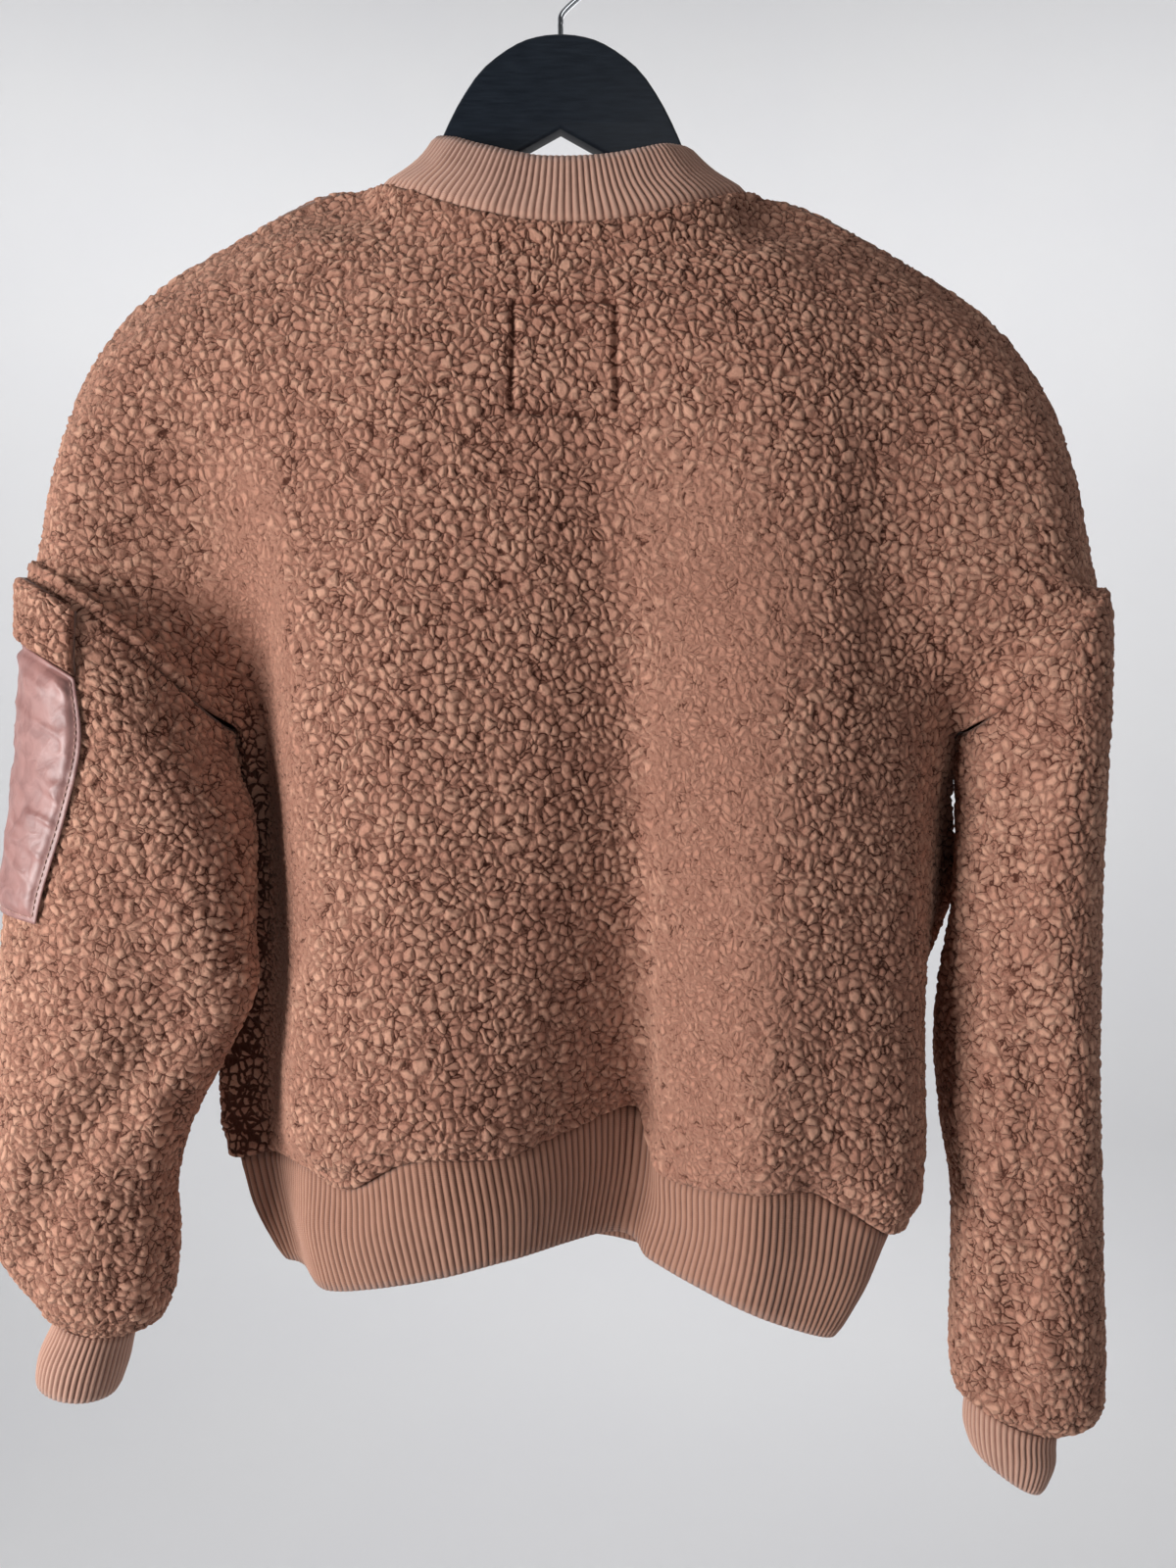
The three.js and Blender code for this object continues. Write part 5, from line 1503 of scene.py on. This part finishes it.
@dataclass
class Jacket:
    """All pieces of the jacket."""

    finishes: Finishes

    @staticmethod
    def pressed_back(points: np.ndarray, u: np.ndarray, v: np.ndarray) -> tuple:
        """Returns the pile's strength, depth, tightness and the painted shade that darkens its
        gaps.

        Args:
            points: places on the back in millimetres.
            u: columns of the back.
            v: levels of the back.
        """
        x, z = points[..., 0], points[..., 2]
        column = np.broadcast_to(u[None], x.shape)
        level = np.broadcast_to(v[:, None], x.shape)
        low = ramp(-z, 300, 430)
        sway = 0.9 * noise(points, 60.0, 95) + 0.5 * noise(points, 22.0, 96)
        tight, strength = np.zeros(x.shape), np.ones(x.shape)
        for middle, width, drawn, flat in zip(*TIGHT_STRIPS.values()):
            strip = low * np.exp(-((column + sway - middle) / width) ** 2)
            tight, strength = tight + drawn * strip, strength - flat * strip
        dx, dz = np.abs(x - LABEL_X) - LABEL_HALF[0], np.abs(z - LABEL_Z) - LABEL_HALF[1]
        off = np.where(np.maximum(dx, dz) > 0, np.hypot(np.maximum(dx, 0), np.maximum(dz, 0)),
                       np.maximum(dx, dz)) + 1.2 * noise(points, 9.0, 93)
        # The stitched groove round the label also gets its gaps painted darker, as painted shade,
        # through the drop
        groove = np.exp(-(off / STITCH_WIDTH) ** 2) * (0.85 + 0.3 * noise(points, 14.0, 94))
        over, down = steps_along(points, 1), steps_along(points, 0)
        side = np.minimum(over, over[-1] - over)[None]
        to_hem = (down[-1] - down)[:, None]
        arm = ramp(level, 7.6, 8.4) * ramp(14.4 - level, 0, 0.8)
        puff = ARM_PUFF * arm * np.exp(-((side - 5.0) / 4.5) ** 2)
        puff = puff + SIDE_PUFF * below_arm(level) * np.exp(-(side / SIDE_REACH) ** 2)
        lobes = 1 + noise(points, 16.0, 97)
        puff = puff + HEM_PUFF * np.exp(-((to_hem - 5.0) / 6.0) ** 2) * lobes
        # Painted shade in the hollow low on the left of the back
        hollow = np.exp(-((column + 0.5 * sway - HOLLOW_COLUMN) / HOLLOW_WIDTH) ** 2)
        shade = -HOLLOW_SHADE * ramp(-z, 440, 540) * hollow
        drop = STITCH_DEPTH * groove - puff
        return strength * (1 - 0.6 * groove), drop, np.clip(tight, 0, 1), shade

    @staticmethod
    def pressed_sleeve(points: np.ndarray, u: np.ndarray, v: np.ndarray, side: Side) -> tuple:
        """Returns the same for a sleeve, with its top seam and its long folds.

        Args:
            points: places on the sleeve in millimetres.
            u: angles from the outer line.
            v: rings down the sleeve.
            side: which sleeve it is.
        """
        none = np.zeros(points.shape[:2])
        down = steps_along(points, 0)[:, None] + none
        # Where drop is positive, at the top seam and in the creases, the pile's gaps are also
        # painted darker as painted shade
        drop = 1.6 * np.exp(-(down / 5.0) ** 2)
        back = ramp(-points[..., 1], 2, 14)
        for path, width in SLEEVE_CREASES[side]:
            line = np.array(path, float)
            beside = line + np.array([side.value * 11.0, 0.0])
            drop = drop + 1.5 * back * np.exp(-(path_distance(points, line) / width) ** 2)
            drop = drop - 3.2 * back * np.exp(-(path_distance(points, beside) / 8.0) ** 2)
        inward = np.exp(-((u[None] - 180.0) / 30.0) ** 2) * ramp(v, 0.2, 1)[:, None]
        inward = inward * ramp(6.5 - v, 0, 2)[:, None]
        return none + 1, drop - INNER_PUFF * inward, none, none

    @staticmethod
    def pressed_front(points: np.ndarray, u: np.ndarray, v: np.ndarray, side: Side) -> tuple:
        """Returns the same for a front, whose pile stands out at the side below the arm."""
        over = steps_along(points, 1)
        off = (over[-1] - over)[None] if side is Side.LEFT else over[None]
        level = np.asarray(v, float)[:, None]
        none = np.zeros(points.shape[:2])
        drop = none - SIDE_PUFF * below_arm(level) * np.exp(-(off / SIDE_REACH) ** 2)
        return none + 1, drop, none, none

    def build(self) -> None:
        """Builds every panel in order."""
        finishes = self.finishes
        Fleece("back", FORM.back, (0, 32), (NECK, HEM_SEAM), (460, 470), pieces=3,
               cut_mm=(690, 640), pressed=self.pressed_back).build(finishes)
        for side, node in ((Side.LEFT, "front_left"), (Side.RIGHT, "front_right")):
            def surface(u: np.ndarray, v: np.ndarray, side: Side = side) -> np.ndarray:
                """Returns the front with its columns from left to right."""
                f = u if side is Side.LEFT else 1 - u
                return FORM.front(side, f, v)

            Fleece(node, surface, (0, 1), (NECK, HEM_SEAM), (130, 225), cut_mm=(370, 600),
                   pressed=partial(self.pressed_front, side=side)).build(finishes)
        for side, node in ((Side.LEFT, "sleeve_left"), (Side.RIGHT, "sleeve_right")):
            def tube(u: np.ndarray, v: np.ndarray, side: Side = side) -> np.ndarray:
                """Returns the sleeve with its columns turning so that it faces out."""
                return FORM.sleeve(side, u if side is Side.LEFT else 360 - u, v)

            Fleece(node, tube, (0, 360), (0, SLEEVE_END), (205, 250), ring=True,
                   cut_mm=(420, 480), pressed=partial(self.pressed_sleeve, side=side)
                   ).build(finishes)
        SleevePocket().build(finishes)
        self.bands()
        Zip().build(finishes)
        LOG.info("built the jacket")

    def bands(self) -> None:
        """Builds the rib bands."""
        RibBand("hem_rib", FORM.around, (0, 4), (HEM_SEAM, HEM_EDGE), 4.4,
                "hem").build(self.finishes)
        RibBand("collar_rib", FORM.around, (0, 4), (COLLAR_TOP, NECK), 3.9,
                rows=10).build(self.finishes)
        for side, node in ((Side.LEFT, "cuff_left"), (Side.RIGHT, "cuff_right")):
            def tube(u: np.ndarray, v: np.ndarray, side: Side = side) -> np.ndarray:
                """Returns the cuff with its columns turning so that it faces out."""
                return FORM.sleeve(side, u if side is Side.LEFT else 360 - u, v)

            carrier = node.replace("cuff", "sleeve") + "_backing"
            RibBand(node, tube, (0, 360), (SLEEVE_END, CUFF_END), 3.9, ring=True,
                    rests=carrier, rows=10).build(self.finishes)


@dataclass
class Studio:
    """Pale bowl, soft lights and the camera."""

    floor_z: float = -1.9
    reach: float = 6.0
    sweep: float = 3.2  # radius of the curve between floor and wall
    sky: float = 0.3  # strength of the even light from all round
    jacket: tuple = (0.0, 0.0, -0.5)  # what the lamps look at
    lens_mm: float = 26.8
    eye: tuple = (0.017, -0.725, -0.528)  # level with the middle of the back

    def build(self) -> None:
        """Builds the studio."""
        self.bowl()
        self.lights()
        self.camera()

    def bowl(self) -> None:
        """Builds a round floor whose rim curves up into a wall."""
        flat = self.reach - self.sweep
        profile = [(r, 0.0) for r in np.linspace(0, flat, 10)]
        profile += [(flat + self.sweep * math.sin(a), self.sweep * (1 - math.cos(a)))
                    for a in np.linspace(0.06, math.pi / 2, 26)]
        profile += [(self.reach, self.sweep + h) for h in np.linspace(0.5, 5.5, 6)]
        angles = np.linspace(0, 2 * np.pi, 97)
        rows = [[(r * math.cos(a), r * math.sin(a), self.floor_z + h) for a in angles]
                for r, h in profile]
        part = Surface("studio_bowl")
        part.grid(np.array(rows) / MM, flip=True)
        mesh_object = part.build([Backdrop().make("studio_board")], weld=True)
        mesh_object.parent = None
        del mesh_object["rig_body"]

    def lights(self) -> None:
        """Adds a soft key from the upper left, a fill and an even sky."""
        world = bpy.data.worlds.new("studio_sky")
        bpy.context.scene.world = world
        world.use_nodes = True
        sky = world.node_tree.nodes["Background"]
        sky.inputs[0].default_value = (0.97, 0.98, 1.0, 1.0)
        sky.inputs[1].default_value = self.sky
        bpy.context.scene.view_settings.view_transform = "Standard"
        for name, place, aim, size, power in (
            ("key", (-1.65, -1.1, -0.65), self.jacket, 0.9, 50.0),
            ("fill", (1.1, -2.6, 0.6), self.jacket, 1.6, 14.0),
            ("front", (0.8, 2.6, 0.6), self.jacket, 1.8, 24.0),
            ("wall_left", (-1.6, 2.4, 2.4), (-1.2, 6.0, 1.4), 2.6, 64.0),
            ("wall_right", (1.6, 2.4, 2.4), (1.2, 6.0, 1.4), 2.6, 55.0),
        ):
            data = bpy.data.lights.new(name, "AREA")
            data.energy = power
            data.size = size
            lamp = bpy.data.objects.new(name, data)
            lamp.location = place
            lamp.visible_camera = False
            along = Vector(aim) - Vector(place)
            lamp.rotation_euler = along.to_track_quat("-Z", "Y").to_euler()
            bpy.context.scene.collection.objects.link(lamp)

    def camera(self) -> None:
        """Places the camera as the picture shows the jacket."""
        data = bpy.data.cameras.new("camera")
        data.sensor_width = 36.0
        data.lens = self.lens_mm
        data.clip_start = 0.05
        data.clip_end = 60.0
        camera = bpy.data.objects.new("camera", data)
        camera.location = self.eye
        camera.rotation_euler = (math.pi / 2, 0, 0)
        bpy.context.scene.collection.objects.link(camera)
        bpy.context.scene.camera = camera


def main() -> None:
    """Builds the model and the studio."""
    logging.basicConfig(level=logging.INFO, format="%(name)s: %(message)s")
    finishes = Finishes()
    Hanger().build(finishes)
    LOG.info("built the hanger")
    Jacket(finishes).build()
    Studio().build()
    LOG.info("built the studio")


if __name__ == "__main__":
    main()
